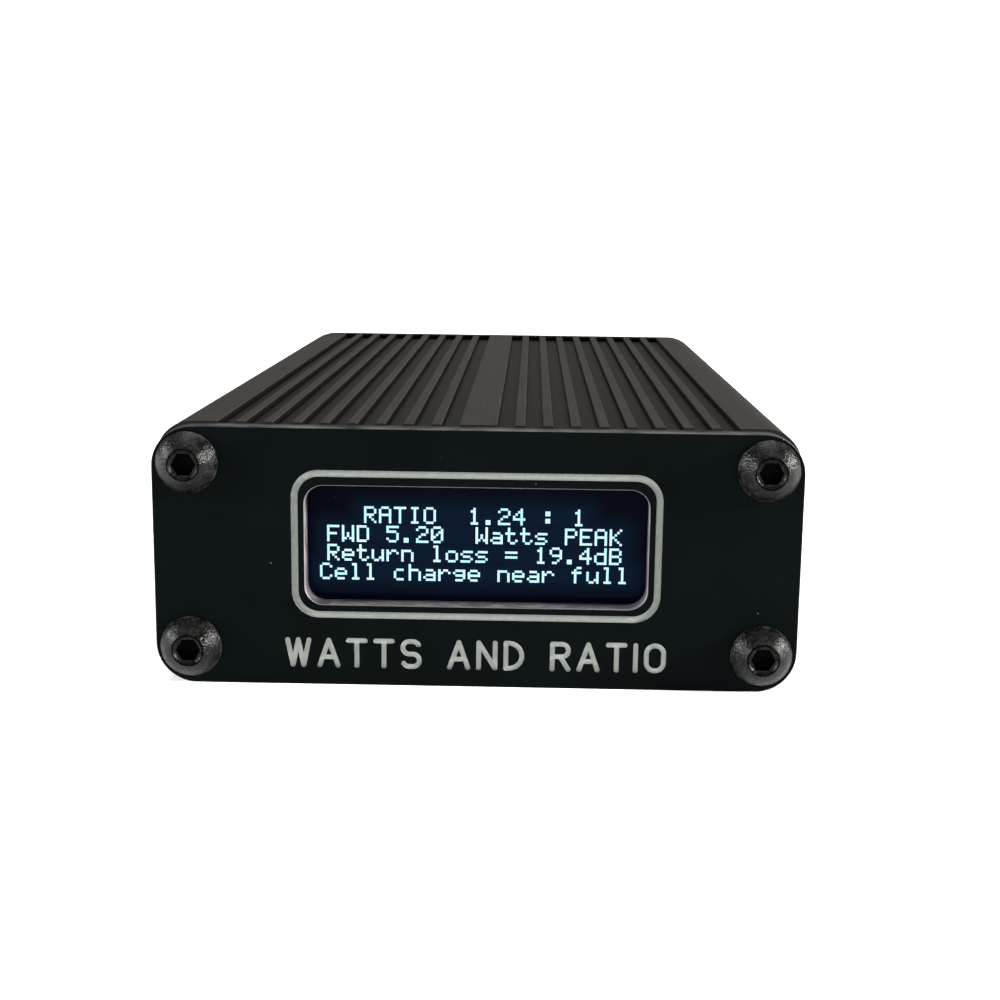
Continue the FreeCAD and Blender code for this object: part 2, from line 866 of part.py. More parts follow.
def plate_screws(name):
    """Four button-head screws with hex sockets, the first at the body's origin."""
    body = new_body(name)
    profile = draw(body, "XY_Plane")
    zero = Size.of(0)
    outline(profile, [(zero, S.screw_length), (S.screw_radius - S.screw_point, S.screw_length),
                      (S.screw_radius, S.screw_length - S.screw_point), (S.screw_radius, zero),
                      (S.head_radius, zero), (S.head_radius, -S.head_rim, DOME),
                      (S.mouth_radius, -S.head_height), (zero, -S.head_height)])
    turned = revolve(body, profile)
    mouth = draw(body, "XY_Plane")
    top = -S.head_height
    outline(mouth, [(zero, top), (S.mouth_radius - S.mouth_depth * 0.25, top),
                    (S.mouth_radius - S.mouth_depth, top + S.mouth_depth), (zero, top + S.mouth_depth)])
    sunk = revolve(body, mouth, "PartDesign::Groove")
    socket = draw(body, "XZ_Plane", S.head_height)
    hexagon(socket, S.hex_flats)
    driven = pocket(body, socket, S.hex_depth)
    pattern(body, [turned, sunk, driven], "X_Axis", screw_span, 2, ("Z_Axis", screw_rise, 2))
    return body


front_screws = plate_screws("front_plate_screws")
place(front_screws, screw_span / -2.0, front_face, S.screw_height)
rear_screws = plate_screws("rear_plate_screws")
place(rear_screws, screw_span / 2.0, rear_face, S.screw_height, Rotation(Vector(0, 0, 1), 180))


# ---------------------------------------------------------------- RF jacks

def jack_shell(name, side):
    """A bayonet jack's turned body: thread, flange, barrel with two lugs, and two board legs."""
    body = new_body(name)
    tip = S.flange_thickness + S.barrel_length
    zero = Size.of(0)
    solid = draw(body, "XY_Plane")
    outline(solid, [(zero, -S.thread_length), (S.thread_radius, -S.thread_length), (S.thread_radius, zero),
                    (S.flange_radius, zero), (S.flange_radius, S.flange_thickness),
                    (S.barrel_radius, S.flange_thickness), (S.barrel_radius, tip), (zero, tip)])
    revolve(body, solid)
    lugs = draw(body, "YZ_Plane")
    circle(lugs, tip - S.lug_setback, zero, S.lug_radius)
    pad(body, lugs, S.lug_reach * 2.0, both=True)
    dress(body, "Chamfer", S.jack_chamfer,
          lambda edge: lies_at(edge, tip) or edge.BoundBox.XLength > float(S.flange_radius) * 2.0 - 1e-3)
    bore = draw(body, "XY_Plane")
    floor = tip - S.barrel_depth
    small = S.insulator_radius + S.insulator_clearance
    outline(bore, [(zero, -S.thread_length - 1.0), (small, -S.thread_length - 1.0), (small, floor),
                   (S.barrel_bore, floor), (S.barrel_bore, tip + 1.0), (zero, tip + 1.0)])
    revolve(body, bore, "PartDesign::Groove")
    legs = draw(body, "XZ_Plane", S.thread_length - S.leg_root)
    centre = S.thread_radius - S.leg_width / 2.0 - S.leg_root
    for leg in (-1, 1):
        rectangle(legs, centre * leg - S.leg_width / 2.0, -S.contact_pin,
                  centre * leg + S.leg_width / 2.0, S.leg_thickness - S.contact_pin)
    pad(body, legs, S.leg_length)
    place(body, jack_offset * side, rear_face, jack_axis)
    return body


def jack_insulator(name, side):
    body = new_body(name)
    hole = S.contact_radius + S.contact_clearance
    nose = S.flange_thickness + S.barrel_length - S.barrel_depth + S.insulator_nose
    back = -S.thread_length - S.insulator_tail
    profile = draw(body, "XY_Plane")
    outline(profile, [(hole, back), (S.insulator_radius, back), (S.insulator_radius, nose), (hole, nose)])
    revolve(body, profile)
    place(body, jack_offset * side, rear_face, jack_axis)
    return body


def jack_contact(name, side):
    """The centre contact: a round socket in front, a solder pin behind that lies on the board."""
    body = new_body(name)
    floor = S.flange_thickness + S.barrel_length - S.barrel_depth
    nose = floor + S.insulator_nose - S.contact_setback
    back = -S.thread_length - S.insulator_tail
    zero = Size.of(0)
    depth = nose - S.contact_bore_depth
    profile = draw(body, "XY_Plane")
    outline(profile, [(zero, back - S.contact_pin_length), (S.contact_pin, back - S.contact_pin_length),
                      (S.contact_pin, back), (S.contact_radius, back), (S.contact_radius, nose),
                      (S.contact_bore, nose), (S.contact_bore, depth), (zero, depth)])
    revolve(body, profile)
    place(body, jack_offset * side, rear_face, jack_axis)
    return body


for side, port in ((-1, "input"), (1, "output")):
    jack_shell("rf_%s_jack" % port, side)
    jack_insulator("rf_%s_insulator" % port, side)
    jack_contact("rf_%s_contact" % port, side)


def lock_washer():
    """One lock washer with ten notches round its rim."""
    body = new_body("one_lock_washer")
    profile = draw(body, "XZ_Plane")
    zero = Size.of(0)
    circle(profile, zero, zero, S.washer_radius)
    bore = S.thread_radius + S.jack_clearance
    circle(profile, zero, zero, bore)
    pad(body, profile, S.washer_thickness)
    notch = draw(body, "XZ_Plane")
    rectangle(notch, -S.washer_thickness, (S.washer_radius + bore) / 2.0,
              S.washer_thickness, S.washer_radius + 1.0)
    gap = pocket(body, notch, S.washer_thickness, reverse=True)
    teeth = body.newObject("PartDesign::PolarPattern", "one_lock_washer_teeth")
    teeth.Originals = [gap]
    teeth.Axis = (origin(body, "Y_Axis"), [""])
    teeth.Angle = 360
    teeth.Occurrences = 10
    body.Tip = teeth
    doc.recompute()
    return body


def jack_nut():
    """One hex nut on a jack's thread."""
    body = new_body("one_jack_nut")
    face = draw(body, "XZ_Plane")
    hexagon(face, S.nut_flats)
    circle(face, Size.of(0), Size.of(0), S.thread_radius + S.thread_clearance)
    pad(body, face, S.nut_thickness)
    return body


def pair_of(name, single, depth):
    """Two copies of one piece, one behind each jack's flange, as one group."""
    item = doc.addObject("Part::Feature", name + "_pair")
    copies = []
    for side in (-1, 1):
        copy = single.Shape.copy()
        copy.translate(Vector(side * float(jack_offset), float(depth), float(jack_axis)))
        copies.append(copy)
    item.Shape = Part.makeCompound(copies)
    item.Label = name
    return item


pair_of("jack_lock_washers", lock_washer(), shell_rear)
pair_of("jack_nuts", jack_nut(), shell_rear - S.washer_thickness)


# ---------------------------------------------------------------- charging socket

socket_mouth = rear_face - S.socket_recess
socket_back = socket_mouth - S.socket_length
socket_low = board_bottom - S.socket_height
socket_mid = socket_low + S.socket_height / 2.0


BLADE_CONTACTS = 12  # contacts on each face of the charging socket's blade


def charge_socket():
    shell = new_body("charge_socket_shell")
    across = S.socket_width / 2.0
    skin = S.socket_skin
    ring = draw(shell, "XZ_Plane")
    rectangle(ring, -across, Size.of(0), across, S.socket_height, S.socket_corner)
    rectangle(ring, -across + skin, skin, across - skin, S.socket_height - skin, S.socket_corner - skin)
    pad(shell, ring, S.socket_length, reverse=True)
    place(shell, 0.0, socket_back, socket_low)

    core = new_body("charge_socket_core")
    gap = skin + S.socket_fit
    plug = draw(core, "XZ_Plane")
    rectangle(plug, -across + gap, gap, across - gap, S.socket_height - gap, S.socket_corner - gap)
    pad(core, plug, S.socket_block, reverse=True)
    blade = draw(core, "XZ_Plane")
    half_blade = S.socket_blade_width / 2.0
    centre = S.socket_height / 2.0
    rectangle(blade, -half_blade, centre - S.socket_blade_thickness / 2.0,
              half_blade, centre + S.socket_blade_thickness / 2.0)
    pad(core, blade, S.socket_length - S.blade_setback, reverse=True)
    place(core, 0.0, socket_back, socket_low)

    rows = []
    strip = S.blade_contact_thickness
    half = S.blade_contact_width / 2.0
    middle = (BLADE_CONTACTS - 1) / 2.0
    for face in (-1, 1):
        for step in range(BLADE_CONTACTS):
            x = S.blade_contact_pitch * (step - middle)
            edge = socket_mid + S.socket_blade_thickness * (face / 2.0)
            low, high = (edge, edge + strip) if face > 0 else (edge - strip, edge)
            rows.append(((x - half, socket_back + S.socket_block + strip, low),
                         (x + half, socket_mouth - S.blade_setback * 2.0, high)))
    boxes("charge_socket_contacts", rows)


charge_socket()


# ---------------------------------------------------------------- power switch

switch_rear = shell_rear - S.switch_setback
switch_front = switch_rear - S.switch_depth


def power_switch():
    across = S.switch_width / 2.0
    skin = S.switch_skin
    cover = new_body("switch_cover")
    block = draw(cover, "XY_Plane")
    rectangle(block, -across, switch_front, across, switch_rear)
    pad(cover, block, S.switch_height - S.switch_base)
    inside = draw(cover, "XY_Plane")
    rectangle(inside, -across + skin, switch_front + skin, across - skin, switch_rear - skin)
    pocket(cover, inside, S.switch_height - S.switch_base - skin, reverse=True)
    mouth = draw(cover, "XZ_Plane", -switch_rear)
    wide = (S.lever_width + S.switch_travel) / 2.0 + S.lever_gap
    centre = S.switch_height / 2.0 - S.switch_base
    tall = S.lever_height / 2.0 + S.slider_clearance * 2.0
    rectangle(mouth, -wide, centre - tall, wide, centre + tall)
    pocket(cover, mouth, skin, reverse=True)
    place(cover, 0.0, 0.0, board_top + S.switch_base)

    box("switch_base", (-across, switch_front, board_top), (across, switch_rear, board_top + S.switch_base))

    rows = []
    half_terminal = S.terminal_width / 2.0
    for step in (-1, 0, 1):
        x = S.terminal_pitch * step
        rows.append(((x - half_terminal, switch_front - S.terminal_length, board_top),
                     (x + half_terminal, switch_front, board_top + S.terminal_thickness)))
    boxes("switch_terminals", rows)

    slider = new_body("switch_lever")
    half = S.slider_width / 2.0
    lower = board_top + S.switch_base + S.slider_clearance
    upper = board_top + S.switch_height - skin - S.slider_clearance
    inner_face = switch_rear - skin - S.slider_clearance * 2.0
    outer_face = inner_face - S.slider_depth
    block = draw(slider, "XZ_Plane", -outer_face)
    rectangle(block, -half, lower, half, upper)
    pad(slider, block, S.slider_depth, reverse=True)
    stem = draw(slider, "XZ_Plane", -outer_face)
    half_lever = S.lever_width / 2.0
    rectangle(stem, -half_lever, lever_axis - S.lever_height / 2.0,
              half_lever, lever_axis + S.lever_height / 2.0)
    tip = rear_face + S.lever_reach
    pad(slider, stem, tip - outer_face, reverse=True)
    dress(slider, "Fillet", S.lever_round, lambda edge: lies_at(edge, tip))
    place(slider, S.switch_travel / -2.0, 0.0, 0.0)


power_switch()


# ---------------------------------------------------------------- boards and electronics

def main_board():
    """The board in the side slots, with a neck between the jacks for the socket and switch."""
    body = new_body("main_board")
    wide = inner_half - S.board_clearance
    neck = S.board_neck / 2.0
    shape = draw(body, "XY_Plane")
    outline(shape, [(-wide, board_front), (wide, board_front), (wide, board_rear), (neck, board_rear),
                    (neck, board_neck_end), (-neck, board_neck_end), (-neck, board_rear),
                    (-wide, board_rear)])
    pad(body, shape, S.board_thickness)
    holes = draw(body, "XY_Plane")
    for step in range(4):
        circle(holes, S.header_pitch * (step - 1.5), header_drop, header_hole)
    pocket(body, holes, S.board_thickness, reverse=True)
    place(body, 0.0, 0.0, board_bottom)
    return body


main_board()


def chip(name, x, y, length, width, height, legs, pitch, along_y=True):
    """A moulded chip on the board's top, with two rows of legs as a second group."""
    bottom = board_top + S.chip_stand
    half_length = length / 2.0
    half_body = width / 2.0
    dx, dy = (half_body, half_length) if along_y else (half_length, half_body)
    box(name, (x - dx, y - dy, bottom), (x + dx, y + dy, bottom + height))
    half_leg = S.leg_strip / 2.0
    top = board_top + S.leg_height
    rows = []
    for side in (-1, 1):
        near = side * half_body
        far = near + S.leg_foot * side
        low, high = (near, far) if side > 0 else (far, near)
        for step in range(legs):
            run = pitch * (step - (legs - 1) / 2.0)
            if along_y:
                rows.append(((x + low, y + run - half_leg, board_top), (x + high, y + run + half_leg, top)))
            else:
                rows.append(((x + run - half_leg, y + low, board_top), (x + run + half_leg, y + high, top)))
    boxes(name + "_legs", rows)


chip("microcontroller", x=0.0, y=-12.0, length=9.9, width=5.3, height=1.75, legs=14, pitch=0.65)
chip("detector_amplifier", x=-12.5, y=6.0, length=4.9, width=3.9, height=1.5, legs=4, pitch=1.27)
chip("charge_controller", x=0.0, y=25.0, length=3.0, width=1.7, height=1.1, legs=3, pitch=0.95, along_y=False)
chip("voltage_regulator", x=9.0, y=-24.0, length=3.0, width=1.7, height=1.1, legs=2, pitch=1.9, along_y=False)


END_PROUD = 0.02  # a chip part's plated ends stand this far above its body


def passives(name, spots, length, width, height, ends, along_y=True):
    """A group of chip parts lying on the board, each a body with two plated ends."""
    rows = []
    half_length = length / 2.0
    half_across = width / 2.0
    spans = [(-half_length, half_length, height),
             (-half_length - ends, -half_length, height + END_PROUD),
             (half_length, half_length + ends, height + END_PROUD)]
    for x, y in spots:
        for near, far, rise in spans:
            if along_y:
                low = (x - half_across, y + near)
                high = (x + half_across, y + far)
            else:
                low = (x + near, y - half_across)
                high = (x + far, y + half_across)
            rows.append((low + (board_top,), high + (board_top + rise,)))
    boxes(name, rows)


def row_of(count, x, y, pitch):
    """Places in a row across the board, from x outwards."""
    return [(x + pitch * step, y) for step in range(count)]


passives("resistors", row_of(4, -9.0, -20.0, -2.2) + row_of(4, 11.0, 5.0, 2.2),
         length=1.4, width=1.25, height=0.5, ends=0.3)
passives("capacitors", row_of(3, -9.0, -8.0, -2.4) + row_of(3, 8.0, -8.0, 2.4) + row_of(2, -12.0, 11.0, 24.0),
         length=1.4, width=1.25, height=0.9, ends=0.3)
passives("detector_diodes", [(-3.2, 9.0), (3.2, 9.0)],
         length=1.9, width=1.3, height=1.0, ends=0.4, along_y=False)

WINDING_TURNS = 10  # turns on each ring core
core_axis = board_top + S.core_radius + S.winding_wire + S.winding_gap * 2.0


def coupler(name, side):
    """One current transformer: a ring core, its turns, and the through line in its bore."""
    core = new_body(name + "_core")
    face = draw(core, "YZ_Plane")
    zero = Size.of(0)
    circle(face, zero, zero, S.core_radius)
    circle(face, zero, zero, S.core_bore)
    pad(core, face, S.core_length, both=True)
    place(core, S.core_offset * side, S.core_place, core_axis)

    turns = new_body(name + "_winding")
    loop = draw(turns, "XZ_Plane")
    near = S.winding_gap
    far = S.winding_gap + S.winding_wire
    half = S.core_length / 2.0
    rectangle(loop, -half - far, S.core_bore - far, half + far, S.core_radius + far)
    rectangle(loop, -half - near, S.core_bore - near, half + near, S.core_radius + near)
    first = pad(turns, loop, S.winding_wire, both=True)
    repeat = turns.newObject("PartDesign::PolarPattern", name + "_turns")
    repeat.Originals = [first]
    repeat.Axis = (origin(turns, "X_Axis"), [""])
    repeat.Angle = 360
    repeat.Occurrences = WINDING_TURNS
    turns.Tip = repeat
    doc.recompute()
    place(turns, S.core_offset * side, S.core_place, core_axis)


coupler("forward", -1)
coupler("reflected", 1)

through_routes = []
for side in (-1, 1):
    start = S.core_offset * side - S.through_span / 2.0
    end = S.core_offset * side + S.through_span / 2.0
    through_routes.append([(start, S.core_place, board_top), (start, S.core_place, core_axis),
                           (end, S.core_place, core_axis), (end, S.core_place, board_top)])
wires("through_lines", through_routes, S.through_bend, S.through_wire)


# ---------------------------------------------------------------- display

def display():
    across = S.glass_width / 2.0
    tall = S.glass_height / 2.0
    low = S.window_centre - tall
    high = S.window_centre + tall
    left = S.glass_shift - across
    right = S.glass_shift + across

    gasket = new_body("display_gasket")
    ring = draw(gasket, "XZ_Plane")
    inner_wide = S.window_width / 2.0 + S.gasket_setback
    inner_span = S.window_height / 2.0 + S.gasket_setback
    wide = inner_wide + S.gasket_border
    span = inner_span + S.gasket_border
    rectangle(ring, -wide, S.window_centre - span, wide, S.window_centre + span)
    rectangle(ring, -inner_wide, S.window_centre - inner_span, inner_wide, S.window_centre + inner_span)
    pad(gasket, ring, S.gasket_thickness, reverse=True)
    place(gasket, 0.0, shell_front, 0.0)

    box("display_glass", (left, glass_front, low), (right, glass_back, high))
    cap_left = left + S.cap_inset
    cap_right = cap_left + S.cap_width
    box("display_rear_cap", (cap_left, glass_back, low + S.cap_inset),
        (cap_right, cap_back, high - S.cap_inset))
    chip_left = cap_right + S.cap_inset
    half_driver = S.driver_length / 2.0
    box("display_driver", (chip_left, glass_back, S.window_centre - half_driver),
        (chip_left + S.driver_width, glass_back + S.driver_thickness, S.window_centre + half_driver))
    carrier = right - S.carrier_inset
    box("display_carrier_tape", (cap_left + S.tape_inset, cap_back, low + S.tape_inset),
        (cap_right - S.tape_inset, carrier_front, high - S.tape_inset))

    flex = new_body("display_flex")
    shape = draw(flex, "XY_Plane")
    thick = S.flex_thickness
    front = glass_back
    back = carrier_back + thick
    outer = (back - front) / 2.0 - S.flex_flat
    bow = right + outer
    start = right - S.flex_lap
    finish = carrier - S.flex_tail
    outline(shape, [(start, front), (bow, front, outer), (bow, back, outer), (finish, back),
                    (finish, back - thick), (bow - thick, back - thick, outer - thick),
                    (bow - thick, front + thick, outer - thick), (start, front + thick)])
    pad(flex, shape, S.flex_width)
    place(flex, 0.0, 0.0, S.window_centre - S.flex_width / 2.0)

    carrier_board = new_body("display_carrier")
    face = draw(carrier_board, "XZ_Plane")
    middle_z = S.window_centre
    rectangle(face, -carrier, middle_z - S.carrier_height / 2.0, carrier, middle_z + S.carrier_height / 2.0)
    pad(carrier_board, face, S.carrier_thickness, reverse=True)
    holes = draw(carrier_board, "XZ_Plane")
    for step in range(4):
        circle(holes, S.header_pitch * (step - 1.5), header_height, header_hole)
    pocket(carrier_board, holes, S.carrier_thickness)
    place(carrier_board, 0.0, carrier_front, 0.0)

    header = new_body("display_header")
    block = draw(header, "XZ_Plane")
    length = S.header_pitch * 2.0
    half_body = S.header_body / 2.0
    rectangle(block, -length, header_height - half_body, length, header_height + half_body)
    pad(header, block, S.header_body, reverse=True)
    bores = draw(header, "XZ_Plane")
    half_hole = S.header_pin / 2.0 + S.pin_clearance
    for step in range(4):
        x = S.header_pitch * (step - 1.5)
        rectangle(bores, x - half_hole, header_height - half_hole, x + half_hole, header_height + half_hole)
    pocket(header, bores, S.header_body)
    place(header, 0.0, carrier_back, 0.0)

    pins = new_body("display_pins")
    side_view = draw(pins, "YZ_Plane")
    half_pin = S.header_pin / 2.0
    low = header_height - half_pin
    high = header_height + half_pin
    near = header_drop - half_pin
    far = header_drop + half_pin
    tail = board_bottom - S.header_tail
    outline(side_view, [(carrier_front, low), (near, low), (near, tail), (far, tail), (far, high),
                        (carrier_front, high)])
    first = pad(pins, side_view, S.header_pin, both=True)
    pattern(pins, [first], "X_Axis", S.header_pitch * 3.0, 4)
    place(pins, S.header_pitch * -1.5, 0.0, 0.0)


display()


# ---------------------------------------------------------------- cell

def cell():
    across = S.cell_width / 2.0
    front = -S.cell_front
    low = floor_top + S.cell_tape
    inset = S.cell_tape_inset
    box("cell_tape", (-across + inset, front + inset, floor_top),
        (across - inset, front + S.cell_length - inset, low))
    pouch = new_body("cell")
    face = draw(pouch, "XZ_Plane")
    rectangle(face, -across, Size.of(0), across, S.cell_thickness, S.cell_corner)
    pad(pouch, face, S.cell_length, reverse=True)
    place(pouch, 0.0, front, low)

    strip_low = low + (S.cell_thickness - S.cell_strip_height) / 2.0
    box("cell_protection_strip", (-across + inset, front - S.cell_strip_depth, strip_low),
        (across - inset, front, strip_low + S.cell_strip_height))

    lead_height = strip_low + S.cell_strip_height / 2.0
    plug_x = S.plug_place
    plug_rear = -S.plug_front + S.plug_length
    half = S.plug_width / 2.0
    tall = S.plug_height / 2.0
    box("cell_plug", (plug_x - half, -S.plug_front, lead_height - tall),
        (plug_x + half, plug_rear, lead_height + tall))

    housing = new_body("cell_socket")
    face = draw(housing, "XZ_Plane")
    fit = S.plug_clearance
    skin = fit + S.plug_wall
    rectangle(face, plug_x - half - skin, lead_height - tall - skin, plug_x + half + skin, board_bottom)
    pad(housing, face, S.plug_length, reverse=True)
    cavity = draw(housing, "XZ_Plane")
    rectangle(cavity, plug_x - half - fit, lead_height - tall - fit,
              plug_x + half + fit, lead_height + tall + fit)
    pocket(housing, cavity, S.plug_length - S.plug_wall)
    place(housing, 0.0, plug_rear - S.plug_length + S.plug_wall + fit, 0.0)

    routes = []
    for side in (-1, 1):
        turn = -S.plug_front - S.lead_turn - S.lead_pitch * (0.5 - side / 2.0)
        exit_x = plug_x + S.lead_pitch * (side / 2.0)
        strip_x = across - S.lead_inset - S.lead_pitch * (side / 2.0)
        routes.append([(exit_x, -S.plug_front, lead_height), (exit_x, turn, lead_height),
                       (strip_x, turn, lead_height), (strip_x, front - S.cell_strip_depth, lead_height)])
    return routes


lead_routes = cell()
wires("cell_leads", lead_routes, S.lead_radius * 1.8, S.lead_radius)


# ---------------------------------------------------------------- checks and files

NODES = [
    "lower_shell", "upper_shell", "front_plate", "rear_plate", "front_plate_screws", "rear_plate_screws",
    "rf_input_jack", "rf_input_insulator", "rf_input_contact", "rf_output_jack", "rf_output_insulator",
    "rf_output_contact", "jack_lock_washers", "jack_nuts", "charge_socket_shell", "charge_socket_core",
    "charge_socket_contacts", "switch_cover", "switch_base", "switch_terminals", "switch_lever", "main_board",
    "microcontroller", "microcontroller_legs", "detector_amplifier", "detector_amplifier_legs",
    "charge_controller", "charge_controller_legs", "voltage_regulator", "voltage_regulator_legs",
    "resistors", "capacitors", "detector_diodes", "forward_core", "forward_winding", "reflected_core",
    "reflected_winding", "through_lines", "display_gasket", "display_glass", "display_rear_cap",
    "display_driver", "display_carrier_tape", "display_flex", "display_carrier", "display_header",
    "display_pins", "cell_tape", "cell", "cell_protection_strip", "cell_plug", "cell_socket", "cell_leads",
]

doc.recompute()
for item in doc.Objects:
    if "Invalid" in item.State or "Error" in item.State:
        raise RuntimeError("%s (%s) is %s" % (item.Name, item.Label, item.State))

os.makedirs("parts", exist_ok=True)
for node in NODES:
    part = doc.getObjectsByLabel(node)[0]
    shape = part.Shape
    if shape.isNull() or not shape.isValid() or not shape.Solids:
        raise RuntimeError("%s has no valid solid" % node)
    shape.exportStep("parts/%s.step" % node)
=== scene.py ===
import math

import bmesh
import bpy
from mathutils import Matrix, Vector


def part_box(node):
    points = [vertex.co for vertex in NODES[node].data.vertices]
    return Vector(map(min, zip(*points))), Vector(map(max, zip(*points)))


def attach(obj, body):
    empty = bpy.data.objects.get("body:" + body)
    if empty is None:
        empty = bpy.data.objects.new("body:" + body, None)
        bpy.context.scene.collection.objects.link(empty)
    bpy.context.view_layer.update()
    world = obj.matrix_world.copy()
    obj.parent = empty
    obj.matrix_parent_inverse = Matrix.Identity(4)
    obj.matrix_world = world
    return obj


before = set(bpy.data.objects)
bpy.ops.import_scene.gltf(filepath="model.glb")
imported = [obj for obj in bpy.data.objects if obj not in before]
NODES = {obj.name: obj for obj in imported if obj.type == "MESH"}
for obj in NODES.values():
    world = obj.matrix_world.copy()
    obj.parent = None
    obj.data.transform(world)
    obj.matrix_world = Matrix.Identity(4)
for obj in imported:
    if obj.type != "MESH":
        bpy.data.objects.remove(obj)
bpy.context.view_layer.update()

# Pocket SWR and power meter: finishes of every CAD piece, the lit dots of the display, and the studio.
# Frame in metres: +X right, +Y to the rear, +Z up, origin at the bottom centre of the case.

MM = 0.001


# ---------------------------------------------------------------- places read from the frame

PLATE_LOW, PLATE_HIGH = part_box("front_plate")
PLATE_FRONT = PLATE_LOW.y
PLATE_BACK = PLATE_HIGH.y
SHELL_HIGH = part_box("upper_shell")[1]
CASE_TOP = SHELL_HIGH.z
CASE_MIDDLE = 0.5 * CASE_TOP
GLASS_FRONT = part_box("display_glass")[0].y
SCREW_LOW, SCREW_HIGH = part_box("front_plate_screws")
HEAD_RADIUS = 2.15 * MM
SCREW_X = SCREW_HIGH.x - HEAD_RADIUS
SCREW_Z = SCREW_HIGH.z - HEAD_RADIUS - CASE_MIDDLE

# window and engraving of the front plate
WINDOW_HALF = 12.0 * MM
WINDOW_BOTTOM = 5.74 * MM
WINDOW_TOP = 14.34 * MM
ENGRAVED_HALF = 14.0 * MM
ENGRAVED_BOTTOM = 1.0 * MM
ENGRAVED_TOP = 15.6 * MM
LETTERS_TOP = 4.0 * MM
ENGRAVED_DEPTH = 0.12 * MM
CHAMFER = 0.06 * MM
FRONT_FACE = 0.002 * MM
REAR_FACE = 0.02 * MM
WEAR_AND_HIGHLIGHT_DEPTH = 0.3 * MM
WEAR_AND_HIGHLIGHT_ENDS = 3.0 * MM
SHADE_DEPTH = 0.5 * MM

# button heads, radii in millimetres
SOCKET_RADIUS = 0.93
MOUTH_INNER = 1.0
MOUTH_OUTER = 1.18
WORN_RIM = 2.05

# turned rings, in radians of their wave per millimetre
HEAD_RINGS = 95.0
JACK_RINGS = 62.0

# display: dots drawn a little closer in height than in width, text cells of 6 x 8 dots, glow in millimetres
DOT_PITCH = 0.1745 * MM
DOT_RISE = 0.1715 * MM
CELL_COLUMNS = 6
CELL_ROWS = 8
MIDDLE_DOT = 3
DOT_HALF = 0.49 * DOT_PITCH
DOT_CORNER = 0.4 * DOT_HALF
DOT_CROWN = 0.012 * MM
DOT_GAP = 0.001 * MM
BROW_WIDTH = 0.86
BROW_RISE = 0.75
DOT_BRIGHTNESS = 1.3
GLASS_SKIN = 0.02 * MM
GLOW_START = -0.4
GLOW_END = 2.3
GLOW_FALL = 2.2
DOTS_CENTRE = Vector((-0.12 * MM, GLASS_FRONT, 9.88 * MM))
ROWS = (
    "RATIO  1.24 : 1",
    "FWD 5.20  Watts PEAK",
    "Return loss = 19.4dB",
    "Cell charge near full",
)

# studio: the lens in millimetres, other lengths in metres; the camera turns left, then down, then over
CAMERA_PLACE = Vector((3.617, -142.821, 33.294)) * MM
CAMERA_YAW = math.radians(-1.11)
CAMERA_PITCH = math.radians(10.815)
CAMERA_ROLL = math.radians(0.714)
CAMERA_LENS = 55.25
SUN_STRENGTH = 2.4
SUN_SPREAD = math.radians(50.0)
SUN_TILT = math.radians(-12.0)
WORLD_LIGHT = 0.35
FLOOR_HALF = 2.5


# ---------------------------------------------------------------- shader maths

class Signal:
    """One shader socket; a sum written with it becomes Math nodes."""

    def __init__(self, finish, socket):
        self.finish = finish
        self.socket = socket

    def maths(self, operation, *items):
        values = {index: item for index, item in enumerate(items)}
        return self.finish.node("Math", {"operation": operation}, values)

    def __add__(self, other):
        return self.maths("ADD", self, other)

    def __sub__(self, other):
        return self.maths("SUBTRACT", self, other)

    def __rsub__(self, other):
        return self.maths("SUBTRACT", other, self)

    def __mul__(self, other):
        return self.maths("MULTIPLY", self, other)

    def __truediv__(self, other):
        return self.maths("DIVIDE", self, other)

    def __pow__(self, other):
        return self.maths("POWER", self, other)

    def __gt__(self, other):
        return self.maths("GREATER_THAN", self, other)

    def __lt__(self, other):
        return self.maths("LESS_THAN", self, other)

    def __abs__(self):
        return self.maths("ABSOLUTE", self)

    def sine(self):
        return self.maths("SINE", self)

    def most(self, other):
        return self.maths("MAXIMUM", self, other)

    def fold(self, period):
        """Runs up and down between 0 and period."""
        return self.maths("PINGPONG", self, period)

    __radd__ = __add__
    __rmul__ = __mul__


